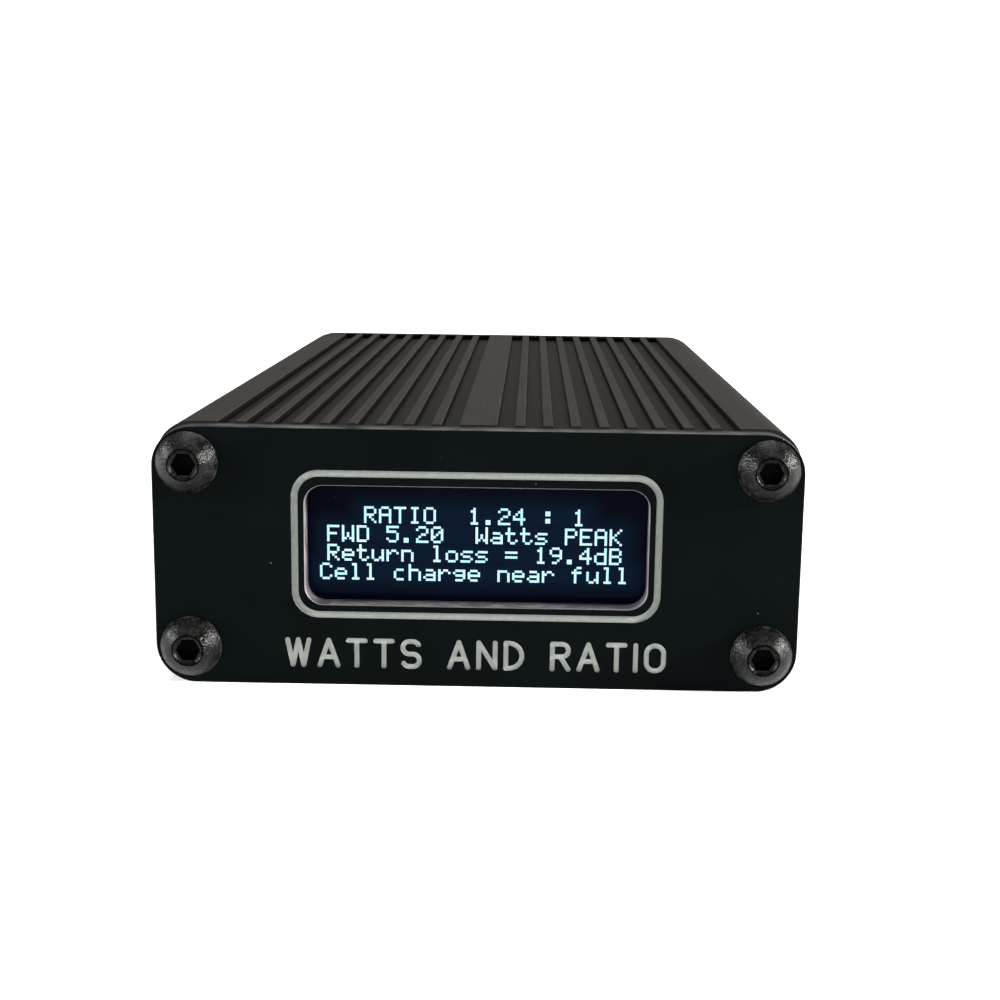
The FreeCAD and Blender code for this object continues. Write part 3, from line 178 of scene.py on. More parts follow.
class Finish:
    """A material: its shader, and the nodes that vary over the surface."""

    def __init__(self, name, **fixed):
        self.material = bpy.data.materials.new(name)
        self.material.use_nodes = True
        self.tree = self.material.node_tree
        self.tree.nodes.clear()
        self.shader = self.tree.nodes.new("ShaderNodeBsdfPrincipled")
        output = self.tree.nodes.new("ShaderNodeOutputMaterial")
        self.tree.links.new(self.shader.outputs[0], output.inputs["Surface"])
        for socket, value in fixed.items():
            self.shader.inputs[socket.replace("_", " ")].default_value = value
        self.coordinates = self.tree.nodes.new("ShaderNodeTexCoord")
        self.spot = Signal(self, self.coordinates.outputs["Object"])
        self.x, self.y, self.z = self.parts(self.spot)
        facing = Signal(self, self.coordinates.outputs["Normal"])
        self.nx, self.ny, self.nz = self.parts(facing)

    def node(self, kind, settings=None, values=None, output=0):
        """Any node: its type, its settings, then the values or links of its sockets."""
        node = self.tree.nodes.new("ShaderNode" + kind)
        for key, setting in (settings or {}).items():
            if key == "stops":
                self.set_stops(node.color_ramp, setting)
            else:
                setattr(node, key, setting)
        for key, value in (values or {}).items():
            self.feed(node.inputs[key], value)
        return Signal(self, node.outputs[output])

    def feed(self, socket, value):
        if isinstance(value, Signal):
            self.tree.links.new(value.socket, socket)
        elif isinstance(value, tuple) and socket.type == "RGBA":
            socket.default_value = value[:3] + (1.0,)
        else:
            socket.default_value = value

    @staticmethod
    def set_stops(ramp, stops):
        while len(ramp.elements) < len(stops):
            ramp.elements.new(1.0)
        for element, (place, colour) in zip(ramp.elements, stops):
            element.position = place
            element.color = colour + (1.0,)

    def parts(self, vector):
        return [self.node("SeparateXYZ", None, {0: vector}, axis) for axis in range(3)]

    def stretched(self, along):
        """The place on the piece, in millimetres, drawn out by a factor along each axis."""
        scale = tuple(1.0 / (MM * factor) for factor in along)
        return self.node("VectorMath", {"operation": "MULTIPLY"}, {0: self.spot, 1: scale})

    def noise(self, grain, detail=3.0, along=(1, 1, 1), rough=0.55):
        """Soft noise whose grain is in millimetres."""
        values = {"Vector": self.stretched(along), "Scale": 1.0 / grain, "Detail": detail,
                  "Roughness": rough}
        return self.node("TexNoise", None, values)

    def step(self, signal, low, high):
        """0 below low, 1 above high, smooth between."""
        values = {"Value": signal, "From Min": low, "From Max": high}
        return self.node("MapRange", {"interpolation_type": "SMOOTHSTEP"}, values)

    def specks(self, spacing, radius, share):
        """Small round specks, radius in millimetres, in a share of the cells."""
        values = {"Vector": self.stretched((1, 1, 1)), "Scale": 1.0 / spacing}
        distance = self.node("TexVoronoi", None, values, "Distance")
        colour = self.node("TexVoronoi", None, values, "Color")
        chance = self.parts(colour)[0]
        edge = radius / spacing
        return (1.0 - self.step(distance, 0.4 * edge, edge)) * (chance < share)

    def blend(self, factor, first, second):
        return self.node("Mix", {"data_type": "RGBA"}, {0: factor, 6: first, 7: second}, 2)

    def shades(self, signal, *stops):
        return self.node("ValToRGB", {"stops": stops}, {0: signal})

    def bump(self, height, depth, strength=1.0, normal=None):
        """A Normal from a height of 0 to 1, depth in millimetres."""
        values = {"Height": height, "Distance": depth * MM, "Strength": strength}
        if normal is not None:
            values["Normal"] = normal
        return self.node("Bump", None, values)

    def set(self, **sockets):
        for name, value in sockets.items():
            self.feed(self.shader.inputs[name.replace("_", " ")], value)
        return self.material


# ---------------------------------------------------------------- finishes

def dust(finish, share=0.35):
    """Fine pale dust, in two sizes."""
    small = finish.specks(1.3, 0.06, share)
    large = finish.specks(4.3, 0.11, 0.9 * share)
    return small.most(large)


def anodised_case():
    """Black satin anodised extrusion: die lines along the length, rib edges lightened by wear and a painted
    highlight, groove side walls painted near black as shade, dust.
    """
    made = Finish("black_anodised_case", IOR=1.5, Specular_IOR_Level=0.04)
    lines = made.noise(0.16, 3.0, (1, 60, 1))
    patches = made.noise(6.0, 4.0, (1, 3, 1))
    grain = made.noise(0.05, 2.0)
    # painted highlight in part: the rib chamfers lightened in patches, as wear and as highlight
    lean = abs(made.nx) * abs(made.nz)
    edge = made.step(lean, 0.25, 0.45) * made.step(made.noise(0.9, 4.0, (1, 4, 1)), 0.4, 0.62)
    tone = made.shades(lines * 0.55 + patches * 0.45, (0.3, (0.0105, 0.0088, 0.0074)),
                       (0.5, (0.0145, 0.0124, 0.0105)), (0.72, (0.021, 0.018, 0.0155)))
    tone = made.blend(edge * 0.1, tone, (0.05, 0.045, 0.04))
    # painted shade: the side walls of the grooves darkened to near black, the outer flanks left as they are
    painted_groove_shade = made.step(abs(made.nx), 0.85, 0.97) * (abs(made.x) < SHELL_HIGH.x - 0.5 * MM)
    tone = made.blend(painted_groove_shade * 0.9, tone, (0.0012, 0.001, 0.0009))
    tone = made.blend(dust(made) * 0.5, tone, (0.24, 0.23, 0.21))
    rough = 0.42 + lines * 0.12 + patches * 0.1
    surface = made.bump(grain, 0.006, 0.5, made.bump(lines, 0.010, 0.6))
    return made.set(Base_Color=tone, Roughness=rough, Normal=surface)


def plate_masks(made):
    """Where the plate is engraved, where it is sawn out, and how much wear and painted highlight its edges
    carry.
    """
    reach = abs(made.x)
    behind = made.y > PLATE_FRONT + 0.04 * ENGRAVED_DEPTH
    engraved = behind * (made.y < PLATE_FRONT + 1.5 * ENGRAVED_DEPTH) * (reach < ENGRAVED_HALF)
    engraved = engraved * (made.z > ENGRAVED_BOTTOM) * (made.z < ENGRAVED_TOP)
    window = (made.y > PLATE_FRONT + FRONT_FACE) * (made.y < PLATE_BACK - REAR_FACE)
    window = window * (reach < WINDOW_HALF) * (made.z > WINDOW_BOTTOM) * (made.z < WINDOW_TOP)
    rim = made.step(abs(made.nz).most(abs(made.nx)), 0.3, 0.6) * (1.0 - engraved) * (1.0 - window)
    outer = (reach > PLATE_HIGH.x - WEAR_AND_HIGHLIGHT_ENDS).most(abs(made.z - CASE_MIDDLE) > CASE_MIDDLE - 0.5 * MM)
    # painted highlight: the upper faces of the edges lightened more than the sides and bottom
    painted_top_highlight = made.step(made.nz, 0.2, 0.6) * 0.75 + 0.25
    wear_and_highlight = rim * outer * painted_top_highlight * made.step(made.noise(1.8, 4.0, (2, 1, 1)), 0.2, 0.75)
    return engraved, window, wear_and_highlight


def milled_tone(made, mottle):
    """Bare metal at the bottom of the engraving, painted paler in the small lettering below the window to
    make up for the shade in its narrow grooves.
    """
    milled = made.shades(mottle, (0.3, (0.165, 0.180, 0.165)), (0.7, (0.21, 0.226, 0.208)))
    # painted light: the lettering below the window lifted against the shade of its grooves
    letters_painted_light = 1.0 - made.step(made.z, LETTERS_TOP, LETTERS_TOP + 0.5 * MM)
    return made.blend(letters_painted_light * 0.4, milled, (0.40, 0.42, 0.395))


def sawn_tone(made, drawn):
    """Bare metal of the window's walls, streaked by the cutter, with painted shade darker towards the
    display and a painted highlight along the front edge.
    """
    sawn = made.shades(drawn, (0.34, (0.035, 0.031, 0.034)), (0.5, (0.10, 0.09, 0.094)),
                       (0.64, (0.30, 0.275, 0.285)))
    # painted shade: the walls darkened towards the display
    painted_recess_shade = made.step(made.y, PLATE_FRONT + SHADE_DEPTH, PLATE_BACK)
    sawn = made.blend(painted_recess_shade * 0.75, sawn, (0.012, 0.011, 0.012))
    # painted highlight: a lighter band along the front edge of the window
    painted_front_edge_highlight = made.y < PLATE_FRONT + CHAMFER
    return made.blend(painted_front_edge_highlight * 0.85, sawn, (0.13, 0.12, 0.125))


def anodised_plate():
    """Black satin anodised plate, bare metal where it is engraved or sawn out, lighter at the edges from
    wear and a painted highlight.
    """
    made = Finish("black_anodised_plate", IOR=1.5, Specular_IOR_Level=0.022)
    engraved, window, wear_and_highlight = plate_masks(made)
    grain = made.noise(0.045, 2.0)
    brushed = made.noise(0.12, 3.0, (30, 1, 1))
    patches = made.noise(5.0, 3.0)
    mottle = made.noise(0.35, 4.0)
    drawn = made.noise(0.16, 4.0, (8, 1, 8), rough=0.7)
    tone = made.shades(patches * 0.7 + brushed * 0.3, (0.32, (0.0002, 0.0009, 0.0009)),
                       (0.55, (0.0006, 0.0017, 0.0018)), (0.75, (0.0012, 0.0024, 0.0028)))
    tone = made.blend(dust(made, 0.14) * 0.8, tone, (0.3, 0.31, 0.3))
    near = 1.0 - made.step(abs(made.y), abs(PLATE_BACK), abs(PLATE_FRONT) - WEAR_AND_HIGHLIGHT_DEPTH)
    # edges lightened by wear and a painted highlight, less towards the back face
    tone = made.blend(wear_and_highlight * (0.65 - near * 0.5), tone, (0.11, 0.105, 0.10))
    tone = made.blend(engraved, tone, milled_tone(made, mottle))
    tone = made.blend(window, tone, sawn_tone(made, drawn))
    bare = engraved.most(window)
    rough = made.step(bare, 0.0, 1.0) * 0.06 + 0.5 + patches * 0.12 - wear_and_highlight * 0.1
    metal = window * 0.75 + wear_and_highlight * 0.3 + engraved * 0.12
    cuts = drawn * window + mottle * engraved * 0.6
    surface = made.bump(cuts, 0.03, 0.5, made.bump(grain, 0.005, 0.45))
    return made.set(Base_Color=tone, Roughness=rough, Metallic=metal, Normal=surface)


def screw_radius(made):
    """Distance from the nearest screw's axis, in millimetres."""
    across = abs(made.x) - SCREW_X
    rise = abs(made.z - CASE_MIDDLE) - SCREW_Z
    return (across * across + rise * rise) ** 0.5 / MM


def black_oxide():
    """Black-oxided steel button heads: grey mottle, turned rings, a dark ring round a socket painted near
    black as shade.
    """
    made = Finish("black_oxide_steel", IOR=1.8, Specular_IOR_Level=0.06)
    radius = screw_radius(made)
    rings = (radius * HEAD_RINGS).sine() * 0.5 + 0.5
    mottle = made.noise(0.5, 2.0)
    fine = made.noise(0.16, 1.0)
    inside = 1.0 - made.step(radius, SOCKET_RADIUS - 0.09, SOCKET_RADIUS)
    # painted shade: the socket below the face of the head made near black and metallic
    painted_socket_shade = inside * (abs(made.y) < abs(SCREW_LOW.y) - 0.25 * MM)
    mouth = made.step(radius, MOUTH_INNER, MOUTH_INNER + 0.05)
    mouth = mouth * (1.0 - made.step(radius, MOUTH_OUTER - 0.05, MOUTH_OUTER))
    rim = made.step(radius, WORN_RIM, WORN_RIM + 0.15) * made.step(mottle, 0.42, 0.62)
    tone = made.shades(mottle * 0.5 + fine * 0.5, (0.40, (0.0003, 0.0004, 0.0003)),
                       (0.52, (0.0016, 0.0019, 0.0016)), (0.66, (0.011, 0.0115, 0.0095)))
    tone = made.blend(mouth * 0.85, tone, (0.002, 0.002, 0.002))
    tone = made.blend(rim * 0.4, tone, (0.05, 0.048, 0.043))
    tone = made.blend(painted_socket_shade * 0.9, tone, (0.0012, 0.0012, 0.0013))
    rough = 0.2 + mottle * 0.2
    pitted = made.bump(fine, 0.05, 0.9)
    surface = made.bump(rings * 0.2 + mottle, 0.05, 0.7, pitted)
    return made.set(Base_Color=tone, Roughness=rough, Metallic=painted_socket_shade.most(mouth), Normal=surface)


def turned_metal(name, dark, light, rough):
    """Plated metal turned about Y: fine rings, smudges and small scratches."""
    made = Finish(name, Metallic=1.0)
    rings = (made.y / MM * JACK_RINGS + made.noise(3.0, 2.0) * 4.0).sine() * 0.5 + 0.5
    smudge = made.noise(2.4, 5.0)
    scratch = made.step(made.noise(0.11, 2.0, (1, 1, 14)), 0.66, 0.74)
    tone = made.shades(smudge, (0.32, dark), (0.66, light))
    tone = made.blend(scratch * 0.25, tone, (0.9, 0.9, 0.88))
    rough = rough + smudge * 0.16 + scratch * 0.08
    surface = made.bump(rings, 0.004, 0.5, made.bump(made.noise(0.5, 3.0), 0.006, 0.35))
    return made.set(Base_Color=tone, Roughness=rough, Normal=surface)


def pressed_metal(name, dark, light, rough):
    """Plated or tinned sheet and leads: rolling lines, dull patches."""
    made = Finish(name, Metallic=1.0)
    rolled = made.noise(0.1, 3.0, (20, 1, 1))
    dull = made.noise(0.9, 5.0)
    tone = made.shades(dull * 0.7 + rolled * 0.3, (0.32, dark), (0.66, light))
    rough = rough + dull * 0.22
    surface = made.bump(rolled, 0.006, 0.6, made.bump(dull, 0.012, 0.4))
    return made.set(Base_Color=tone, Roughness=rough, Normal=surface)


def moulding(name, dark, light, rough, grain=0.07):
    """Moulded or turned plastic: spark-eroded grain, flow shading, a little dust."""
    made = Finish(name, IOR=1.48)
    flow = made.noise(2.6, 4.0)
    texture = made.noise(grain, 3.0)
    pits = made.specks(0.6, 0.05, 0.3)
    tone = made.shades(flow * 0.75 + texture * 0.25, (0.3, dark), (0.7, light))
    tone = made.blend(dust(made, 0.25) * 0.3, tone, (0.42, 0.41, 0.38))
    rough = rough + texture * 0.14 + flow * 0.06
    surface = made.bump(texture - pits * 0.6, 0.01, 0.6)
    return made.set(Base_Color=tone, Roughness=rough, Normal=surface)


def board(name, resist, track, substrate):
    """Circuit board: solder resist over tracks on the faces, raw laminate at the edges."""
    made = Finish(name, IOR=1.5, Coat_Weight=0.4, Coat_Roughness=0.12)
    across = made.step(abs(made.x / MM + made.noise(7.0, 1.0) * 3.0).fold(0.6), 0.3, 0.36)
    length = made.step(abs(made.y / MM + made.noise(6.0, 1.0) * 3.0).fold(0.75), 0.42, 0.48)
    area = made.noise(9.0, 2.0) > 0.5
    copper = across * area + length * (1.0 - area)
    faces = made.step(abs(made.nz), 0.5, 0.8)
    weave = (made.x / MM * 9.0).sine() * (made.y / MM * 9.0).sine() * 0.5 + 0.5
    tone = made.blend(copper, resist, track)
    tone = made.blend(weave * 0.12, tone, substrate)
    vias = made.specks(2.4, 0.22, 0.35) * faces
    tone = made.blend(vias, tone, (0.62, 0.6, 0.52))
    tone = made.blend(1.0 - faces, tone, substrate)
    rough = 0.32 + weave * 0.06 + (1.0 - faces) * 0.3
    surface = made.bump(copper + weave * 0.1, 0.018, 0.8)
    return made.set(Base_Color=tone, Roughness=rough, Metallic=vias * 0.8, Normal=surface)


def ceramic(name, dark, light, end):
    """Chip parts: fired body with small specks in the end colour."""
    made = Finish(name, IOR=1.6)
    fired = made.noise(0.25, 5.0)
    specks = made.specks(0.3, 0.05, 0.5)
    tone = made.shades(fired, (0.3, dark), (0.7, light))
    tone = made.blend(specks * 0.4, tone, end)
    surface = made.bump(fired, 0.01, 0.6)
    return made.set(Base_Color=tone, Roughness=0.35 + fired * 0.25, Normal=surface)


def enamelled_wire():
    """Copper winding wire under clear enamel, with a winder's handling marks."""
    made = Finish("enamelled_copper", Metallic=0.85, Coat_Weight=0.7, Coat_Roughness=0.1)
    handled = made.noise(0.8, 4.0)
    fine = made.noise(0.12, 3.0)
    tone = made.shades(handled, (0.3, (0.36, 0.12, 0.04)), (0.7, (0.66, 0.27, 0.1)))
    surface = made.bump(fine, 0.006, 0.5)
    return made.set(Base_Color=tone, Roughness=0.24 + handled * 0.16, Normal=surface)


def foam():
    """Closed-cell foam tape."""
    made = Finish("black_foam", IOR=1.4)
    values = {"Vector": made.stretched((1, 1, 1)), "Scale": 6.0}
    cells = made.node("TexVoronoi", None, values, "Distance")
    tone = made.shades(cells, (0.1, (0.008, 0.008, 0.008)), (0.7, (0.04, 0.04, 0.04)))
    surface = made.bump(cells, 0.08, 0.9)
    return made.set(Base_Color=tone, Roughness=0.78 + cells * 0.15, Normal=surface)


def amber_film():
    """Polyimide film with copper tracks showing through."""
    made = Finish("amber_film", IOR=1.6, Coat_Weight=0.5, Coat_Roughness=0.15)
    tracks = made.step(abs(made.x / MM).fold(0.25), 0.1, 0.14)
    wrinkle = made.noise(1.2, 4.0)
    tone = made.blend(tracks * 0.7, (0.5, 0.2, 0.025), (0.62, 0.36, 0.12))
    tone = made.blend(wrinkle * 0.3, tone, (0.35, 0.13, 0.02))
    surface = made.bump(tracks + wrinkle * 0.4, 0.02, 0.6)
    return made.set(Base_Color=tone, Roughness=0.28 + wrinkle * 0.2, Normal=surface)


def pouch():
    """Laminated foil of the cell, softly crinkled."""
    made = Finish("cell_pouch", Metallic=0.9)
    crinkle = made.noise(2.2, 5.0)
    fine = made.noise(0.3, 3.0)
    tone = made.shades(crinkle, (0.3, (0.42, 0.43, 0.45)), (0.7, (0.64, 0.65, 0.67)))
    surface = made.bump(crinkle + fine * 0.15, 0.12, 0.7)
    return made.set(Base_Color=tone, Roughness=0.3 + fine * 0.18, Normal=surface)


def text_glow(made):
    """Light that spreads in the glass round each row of dots, 0 to 1."""
    glow = None
    for index, words in enumerate(ROWS):
        half = 0.5 * len(words) * CELL_COLUMNS * DOT_PITCH
        middle = row_middle(index)
        beyond = (abs(made.x - DOTS_CENTRE.x) - half).most(0.0)
        above = (abs(made.z - middle) - 0.3 * CELL_ROWS * DOT_RISE).most(0.0)
        away = (beyond * beyond + above * above) ** 0.5 / MM
        spread = (1.0 - made.step(away, GLOW_START, GLOW_END)) ** GLOW_FALL
        glow = spread if glow is None else glow.most(spread)
    return glow


def display_glass():
    """Dark display glass: polariser tint, light spreading from the dots over a faint painted glow, faint
    smears that also glow a little as painted sheen.
    """
    made = Finish("display_glass", IOR=1.5, Specular_IOR_Level=0.01, Emission_Strength=1.0)
    smear_and_sheen = made.noise(3.2, 4.0, (2, 1, 1))
    specks = made.specks(1.7, 0.04, 0.35)
    glow = text_glow(made) * (made.y < GLASS_FRONT + GLASS_SKIN)
    tone = made.shades(smear_and_sheen, (0.35, (0.0003, 0.0006, 0.0022)), (0.7, (0.0006, 0.0011, 0.0038)))
    tone = made.blend(specks * 0.3, tone, (0.3, 0.34, 0.38))
    # emission: light round the rows of dots over a faint painted glow on the rest of the glass
    light = made.blend(glow, (0.0001, 0.0003, 0.0020), (0.0016, 0.0090, 0.0215))
    # painted sheen: the smears glow a little brighter
    light = made.blend(smear_and_sheen * 0.12, light, (0.0004, 0.0012, 0.005))
    return made.set(Base_Color=tone, Roughness=0.1 + smear_and_sheen * 0.12, Emission_Color=light)


def lit_dots():
    """Light of the display's dots: cold white, a little uneven from dot to dot."""
    made = Finish("lit_dots", Roughness=0.4, Emission_Strength=DOT_BRIGHTNESS)
    dot = made.noise(DOT_PITCH / MM, 0.0)
    patches = made.noise(2.5, 2.0)
    light = made.shades(dot * 0.35 + patches * 0.65, (0.25, (0.30, 0.62, 0.76)),
                        (0.55, (0.46, 0.80, 0.90)), (0.8, (0.66, 0.95, 1.0)))
    return made.set(Base_Color=(0.03, 0.04, 0.05), Emission_Color=light)


# ---------------------------------------------------------------- display dots

GLYPHS = {
    "A": ".###. #...# #...# ##### #...# #...# #...#",
    "B": "####. #...# #...# ####. #...# #...# ####.",
    "C": ".###. #...# #.... #.... #.... #...# .###.",
    "D": "####. #...# #...# #...# #...# #...# ####.",
    "E": "##### #.... #.... ####. #.... #.... #####",
    "F": "##### #.... #.... ####. #.... #.... #....",
    "I": ".###. ..#.. ..#.. ..#.. ..#.. ..#.. .###.",
    "K": "#...# #..#. #.#.. ##... #.#.. #..#. #...#",
    "O": ".###. #...# #...# #...# #...# #...# .###.",
    "P": "####. #...# #...# ####. #.... #.... #....",
    "R": "####. #...# #...# ####. #.#.. #..#. #...#",
    "T": "##### ..#.. ..#.. ..#.. ..#.. ..#.. ..#..",
    "W": "#...# #...# #...# #.#.# #.#.# ##.## #...#",
    "a": "..... ..... .###. ....# .#### #...# .####",
    "c": "..... ..... .###. #.... #.... #.... .###.",
    "d": "....# ....# .#### #...# #...# #...# .####",
    "e": "..... ..... .###. #...# ##### #.... .###.",
    "f": "..##. .#... ####. .#... .#... .#... .#...",
    "g": "..... ..... .#### #...# .#### ....# .###.",
    "h": "#.... #.... ####. #...# #...# #...# #...#",
    "l": ".##.. ..#.. ..#.. ..#.. ..#.. ..#.. .###.",
    "n": "..... ..... ####. #...# #...# #...# #...#",
    "o": "..... ..... .###. #...# #...# #...# .###.",
    "r": "..... ..... #.##. ##..# #.... #.... #....",
    "s": "..... ..... .#### #.... .###. ....# ####.",
    "t": ".#... .#... ####. .#... .#... .#..# ..##.",
    "u": "..... ..... #...# #...# #...# #..## .##.#",
    "0": ".###. #...# #..## #.#.# ##..# #...# .###.",
    "1": "..#.. .##.. ..#.. ..#.. ..#.. ..#.. .###.",
    "2": ".###. #...# ....# ..##. .#... #.... #####",
    "4": "...#. ..##. .#.#. #..#. ##### ...#. ...#.",
    "5": "##### #.... ####. ....# ....# #...# .###.",
    "9": ".###. #...# #...# .#### ....# ...#. .##..",
    ".": "..... ..... ..... ..... ..... .##.. .##..",
    ":": "..... .##.. .##.. ..... .##.. .##.. .....",
    "=": "..... ..... ##### ..... ##### ..... .....",
}


def row_middle(index):
    """Height of the middle of a row's seven dots."""
    rise = (0.5 * (len(ROWS) - 1) - index) * CELL_ROWS
    return DOTS_CENTRE.z + rise * DOT_RISE


def lit_places():
    """Centre of each lit dot, row by row, every row centred on the field."""
    for index, words in enumerate(ROWS):
        first = 0.5 - 0.5 * CELL_COLUMNS * len(words)
        for place, letter in enumerate(words):
            if letter == " ":
                continue
            for down, line in enumerate(GLYPHS[letter].split()):
                for across, mark in enumerate(line):
                    if mark == "#":
                        column = first + CELL_COLUMNS * place + across
                        yield (DOTS_CENTRE.x + column * DOT_PITCH,
                               row_middle(index) + (MIDDLE_DOT - down) * DOT_RISE)


def dot_outline(half, corner, steps=2):
    """Rounded square, anticlockwise, as (x, z) offsets."""
    points = []
    for quarter in range(4):
        turn = quarter * math.pi / 2.0
        for step in range(steps + 1):
            angle = turn + step * math.pi / (2.0 * steps)
            cx = (half - corner) * math.copysign(1.0, math.cos(turn + math.pi / 4.0))
            cz = (half - corner) * math.copysign(1.0, math.sin(turn + math.pi / 4.0))
            points.append((cx + corner * math.cos(angle), cz + corner * math.sin(angle)))
    return points


def build_dots():
    """Every lit dot: a rounded square pad with a low crown, standing on the glass."""
    mesh = bmesh.new()
    outline = dot_outline(DOT_HALF, DOT_CORNER)
    foot = DOTS_CENTRE.y - DOT_GAP
    shoulder = foot - BROW_RISE * DOT_CROWN
    for x, z in lit_places():
        base = [mesh.verts.new((x + dx, foot, z + dz)) for dx, dz in outline]
        brow = [mesh.verts.new((x + BROW_WIDTH * dx, shoulder, z + BROW_WIDTH * dz))
                for dx, dz in outline]
        peak = mesh.verts.new((x, foot - DOT_CROWN, z))
        count = len(outline)
        for here in range(count):
            after = (here + 1) % count
            mesh.faces.new((base[here], base[after], brow[after], brow[here]))
            mesh.faces.new((brow[here], brow[after], peak))
        mesh.faces.new(list(reversed(base)))
    bmesh.ops.recalc_face_normals(mesh, faces=mesh.faces)
    data = bpy.data.meshes.new("display_lit_dots")
    mesh.to_mesh(data)
    mesh.free()
    piece = bpy.data.objects.new("display_lit_dots", data)
    bpy.context.scene.collection.objects.link(piece)
    data.polygons.foreach_set("use_smooth", [True] * len(data.polygons))
    data.materials.append(lit_dots())
    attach(piece, "case")


# ---------------------------------------------------------------- finishes on the CAD pieces

def finishes():
    """Each finish with the CAD pieces that have it."""
    nickel = turned_metal("nickel_plate", (0.40, 0.385, 0.355), (0.60, 0.585, 0.55), rough=0.16)
    plated = pressed_metal("plated_steel", (0.46, 0.46, 0.45), (0.7, 0.7, 0.69), rough=0.24)
    tinned = pressed_metal("tinned_metal", (0.5, 0.51, 0.52), (0.74, 0.75, 0.76), rough=0.3)
    gold = turned_metal("gold_plate", (0.62, 0.42, 0.13), (0.86, 0.64, 0.26), rough=0.18)
    insulator = moulding("white_insulator", (0.74, 0.73, 0.7), (0.87, 0.87, 0.85), rough=0.36,
                         grain=0.12)
    white = moulding("white_moulding", (0.66, 0.64, 0.58), (0.8, 0.78, 0.72), rough=0.42)
    black = moulding("black_moulding", (0.009, 0.009, 0.0095), (0.02, 0.02, 0.021), rough=0.42)
    brown = moulding("brown_laminate", (0.2, 0.11, 0.05), (0.36, 0.22, 0.11), rough=0.5, grain=0.15)
    chip = moulding("chip_black", (0.013, 0.013, 0.014), (0.028, 0.028, 0.03), rough=0.5, grain=0.09)
    ferrite = moulding("ferrite_grey", (0.05, 0.05, 0.055), (0.1, 0.1, 0.11), rough=0.55, grain=0.2)
    red = moulding("red_insulation", (0.4, 0.012, 0.012), (0.6, 0.03, 0.028), rough=0.3, grain=0.3)
    cap = moulding("display_cap", (0.05, 0.05, 0.055), (0.1, 0.1, 0.11), rough=0.45, grain=0.1)
    green = board("green_board", (0.012, 0.11, 0.04), (0.03, 0.2, 0.075), (0.42, 0.4, 0.24))
    blue = board("blue_board", (0.012, 0.035, 0.17), (0.03, 0.08, 0.3), (0.42, 0.4, 0.24))
    tan = ceramic("capacitor_tan", (0.34, 0.23, 0.13), (0.52, 0.39, 0.25), (0.6, 0.6, 0.58))
    return [
        (anodised_case(), ["lower_shell", "upper_shell"]),
        (anodised_plate(), ["front_plate", "rear_plate"]),
        (black_oxide(), ["front_plate_screws", "rear_plate_screws"]),
        (nickel, ["rf_input_jack", "rf_output_jack", "jack_lock_washers", "jack_nuts"]),
        (plated, ["charge_socket_shell", "switch_cover"]),
        (tinned, ["switch_terminals", "display_pins", "through_lines", "*_legs"]),
        (gold, ["rf_input_contact", "rf_output_contact", "charge_socket_contacts"]),
        (insulator, ["rf_input_insulator", "rf_output_insulator"]),
        (white, ["cell_plug", "cell_socket"]),
        (black, ["charge_socket_core", "switch_lever", "display_header"]),
        (brown, ["switch_base"]),
        (chip, ["microcontroller", "detector_amplifier", "charge_controller",
                "voltage_regulator", "resistors", "detector_diodes", "display_driver"]),
        (ferrite, ["forward_core", "reflected_core"]),
        (red, ["cell_leads"]),
        (cap, ["display_rear_cap"]),
        (green, ["main_board", "cell_protection_strip"]),
        (blue, ["display_carrier"]),
        (tan, ["capacitors"]),
        (enamelled_wire(), ["forward_winding", "reflected_winding"]),
        (foam(), ["display_gasket", "display_carrier_tape", "cell_tape"]),
        (amber_film(), ["display_flex"]),
        (pouch(), ["cell"]),
        (display_glass(), ["display_glass"]),
    ]


def dress_nodes():
    """Puts each finish on its CAD pieces; a name that starts with * stands for all such ends."""
    left = set(NODES)
    for material, names in finishes():
        for name in names:
            found = [n for n in left if n == name or name[0] == "*" and n.endswith(name[1:])]
            for node in found:
                for holder in NODES[node].material_slots:
                    holder.link = "OBJECT"
                    holder.material = material
                left.discard(node)
    if left:
        raise ValueError("no finish for %s" % sorted(left))


# ---------------------------------------------------------------- studio

def studio_floor():
    """Plain pale floor, flat, with the faintest unevenness of tone."""
    mesh = bmesh.new()
    bmesh.ops.create_grid(mesh, x_segments=8, y_segments=8, size=FLOOR_HALF)
    data = bpy.data.meshes.new("studio_floor")
    mesh.to_mesh(data)
    mesh.free()
    floor = bpy.data.objects.new("studio_floor", data)
    bpy.context.scene.collection.objects.link(floor)
    made = Finish("studio_floor", Roughness=0.9)
    paper = made.noise(40.0, 2.0)
    tone = made.shades(paper, (0.3, (0.95, 0.95, 0.95)), (0.7, (0.96, 0.96, 0.96)))
    data.materials.append(made.set(Base_Color=tone))


def studio_world():
    """White surroundings to look at, dimmer as a light, so that black surfaces keep their contrast."""
    world = bpy.data.worlds.new("studio_world")
    bpy.context.scene.world = world
    world.use_nodes = True
    tree = world.node_tree
    back = tree.nodes["Background"]
    back.inputs["Color"].default_value = (1.0, 1.0, 1.0, 1.0)
    path = tree.nodes.new("ShaderNodeLightPath")
    seen = tree.nodes.new("ShaderNodeMapRange")
    seen.inputs["To Min"].default_value = WORLD_LIGHT
    seen.inputs["To Max"].default_value = 1.0
    tree.links.new(path.outputs["Is Camera Ray"], seen.inputs["Value"])
    tree.links.new(seen.outputs[0], back.inputs["Strength"])


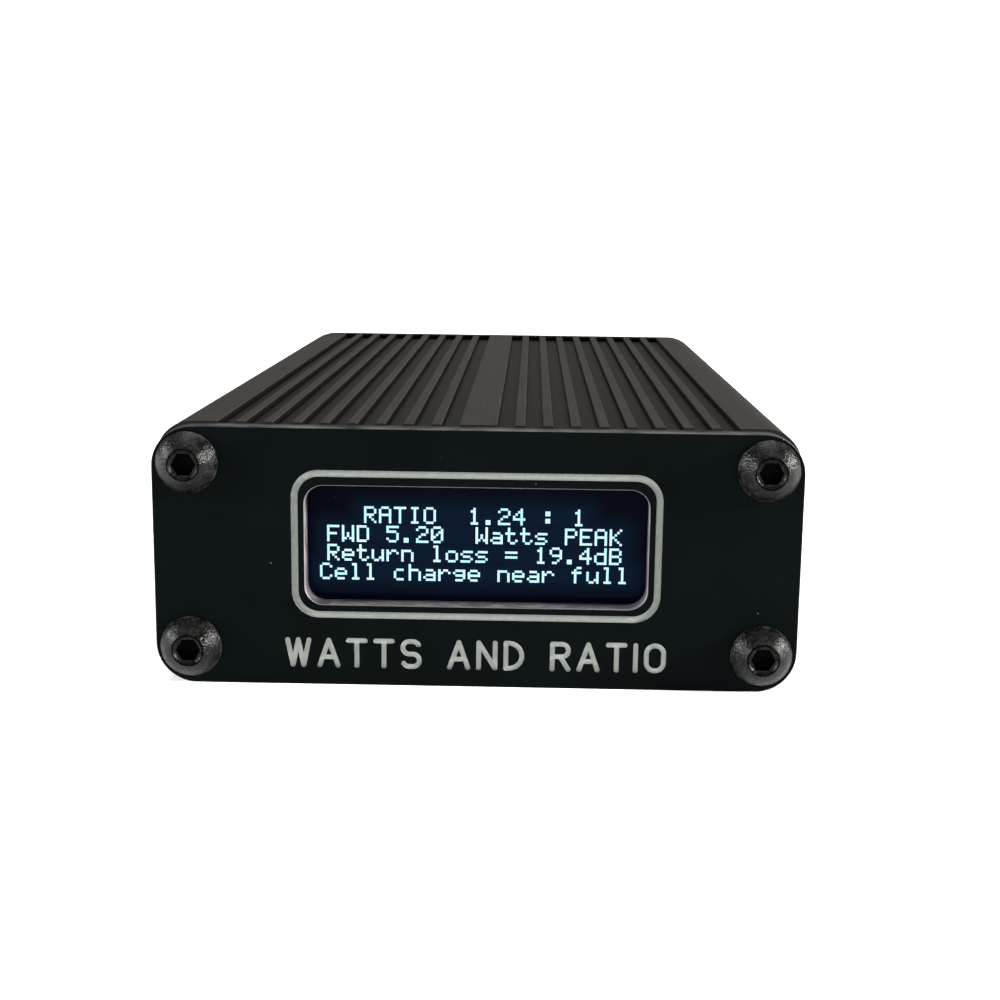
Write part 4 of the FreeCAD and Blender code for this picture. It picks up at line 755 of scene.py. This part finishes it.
def overhead_light():
    """Broad, even light from above, a little behind the case."""
    data = bpy.data.lights.new("overhead", "SUN")
    data.energy = SUN_STRENGTH
    data.angle = SUN_SPREAD
    lamp = bpy.data.objects.new("overhead", data)
    bpy.context.scene.collection.objects.link(lamp)
    lamp.rotation_euler = (SUN_TILT, 0.0, 0.0)


def soft_light(name, place, size, power, colour):
    """A rectangular softbox aimed at the middle of the case, sizes in metres."""
    data = bpy.data.lights.new(name, "AREA")
    data.shape = "RECTANGLE"
    data.size, data.size_y = size
    data.energy = power
    data.color = colour
    lamp = bpy.data.objects.new(name, data)
    bpy.context.scene.collection.objects.link(lamp)
    lamp.location = place
    aim = Vector((0.0, 0.0, CASE_MIDDLE)) - Vector(place)
    lamp.rotation_euler = aim.to_track_quat("-Z", "Y").to_euler()


def studio_camera():
    """Just above the front, looking slightly down along +Y."""
    ahead = Vector((math.sin(CAMERA_YAW), math.cos(CAMERA_YAW), 0.0))
    forward = math.cos(CAMERA_PITCH) * ahead - math.sin(CAMERA_PITCH) * Vector((0.0, 0.0, 1.0))
    level = Vector((math.cos(CAMERA_YAW), -math.sin(CAMERA_YAW), 0.0))
    upright = level.cross(forward)
    right = math.cos(CAMERA_ROLL) * level + math.sin(CAMERA_ROLL) * upright
    up = math.cos(CAMERA_ROLL) * upright - math.sin(CAMERA_ROLL) * level
    data = bpy.data.cameras.new("camera")
    data.sensor_width = 36.0
    data.lens = CAMERA_LENS
    data.clip_start = 0.01
    data.clip_end = 20.0
    camera = bpy.data.objects.new("camera", data)
    bpy.context.scene.collection.objects.link(camera)
    turn = Matrix((right, up, -forward)).transposed().to_4x4()
    camera.matrix_world = Matrix.Translation(CAMERA_PLACE) @ turn
    bpy.context.scene.camera = camera


bpy.context.scene.view_settings.view_transform = "Standard"
studio_camera()
studio_world()
studio_floor()
overhead_light()
soft_light("key_right", place=(0.66, -0.15, 0.22), size=(0.10, 0.13), power=20.0,
           colour=(1.0, 0.985, 0.96))
soft_light("fill_left", place=(-0.66, -0.19, 0.22), size=(0.14, 0.16), power=11.0,
           colour=(0.96, 0.985, 1.0))
dress_nodes()
build_dots()
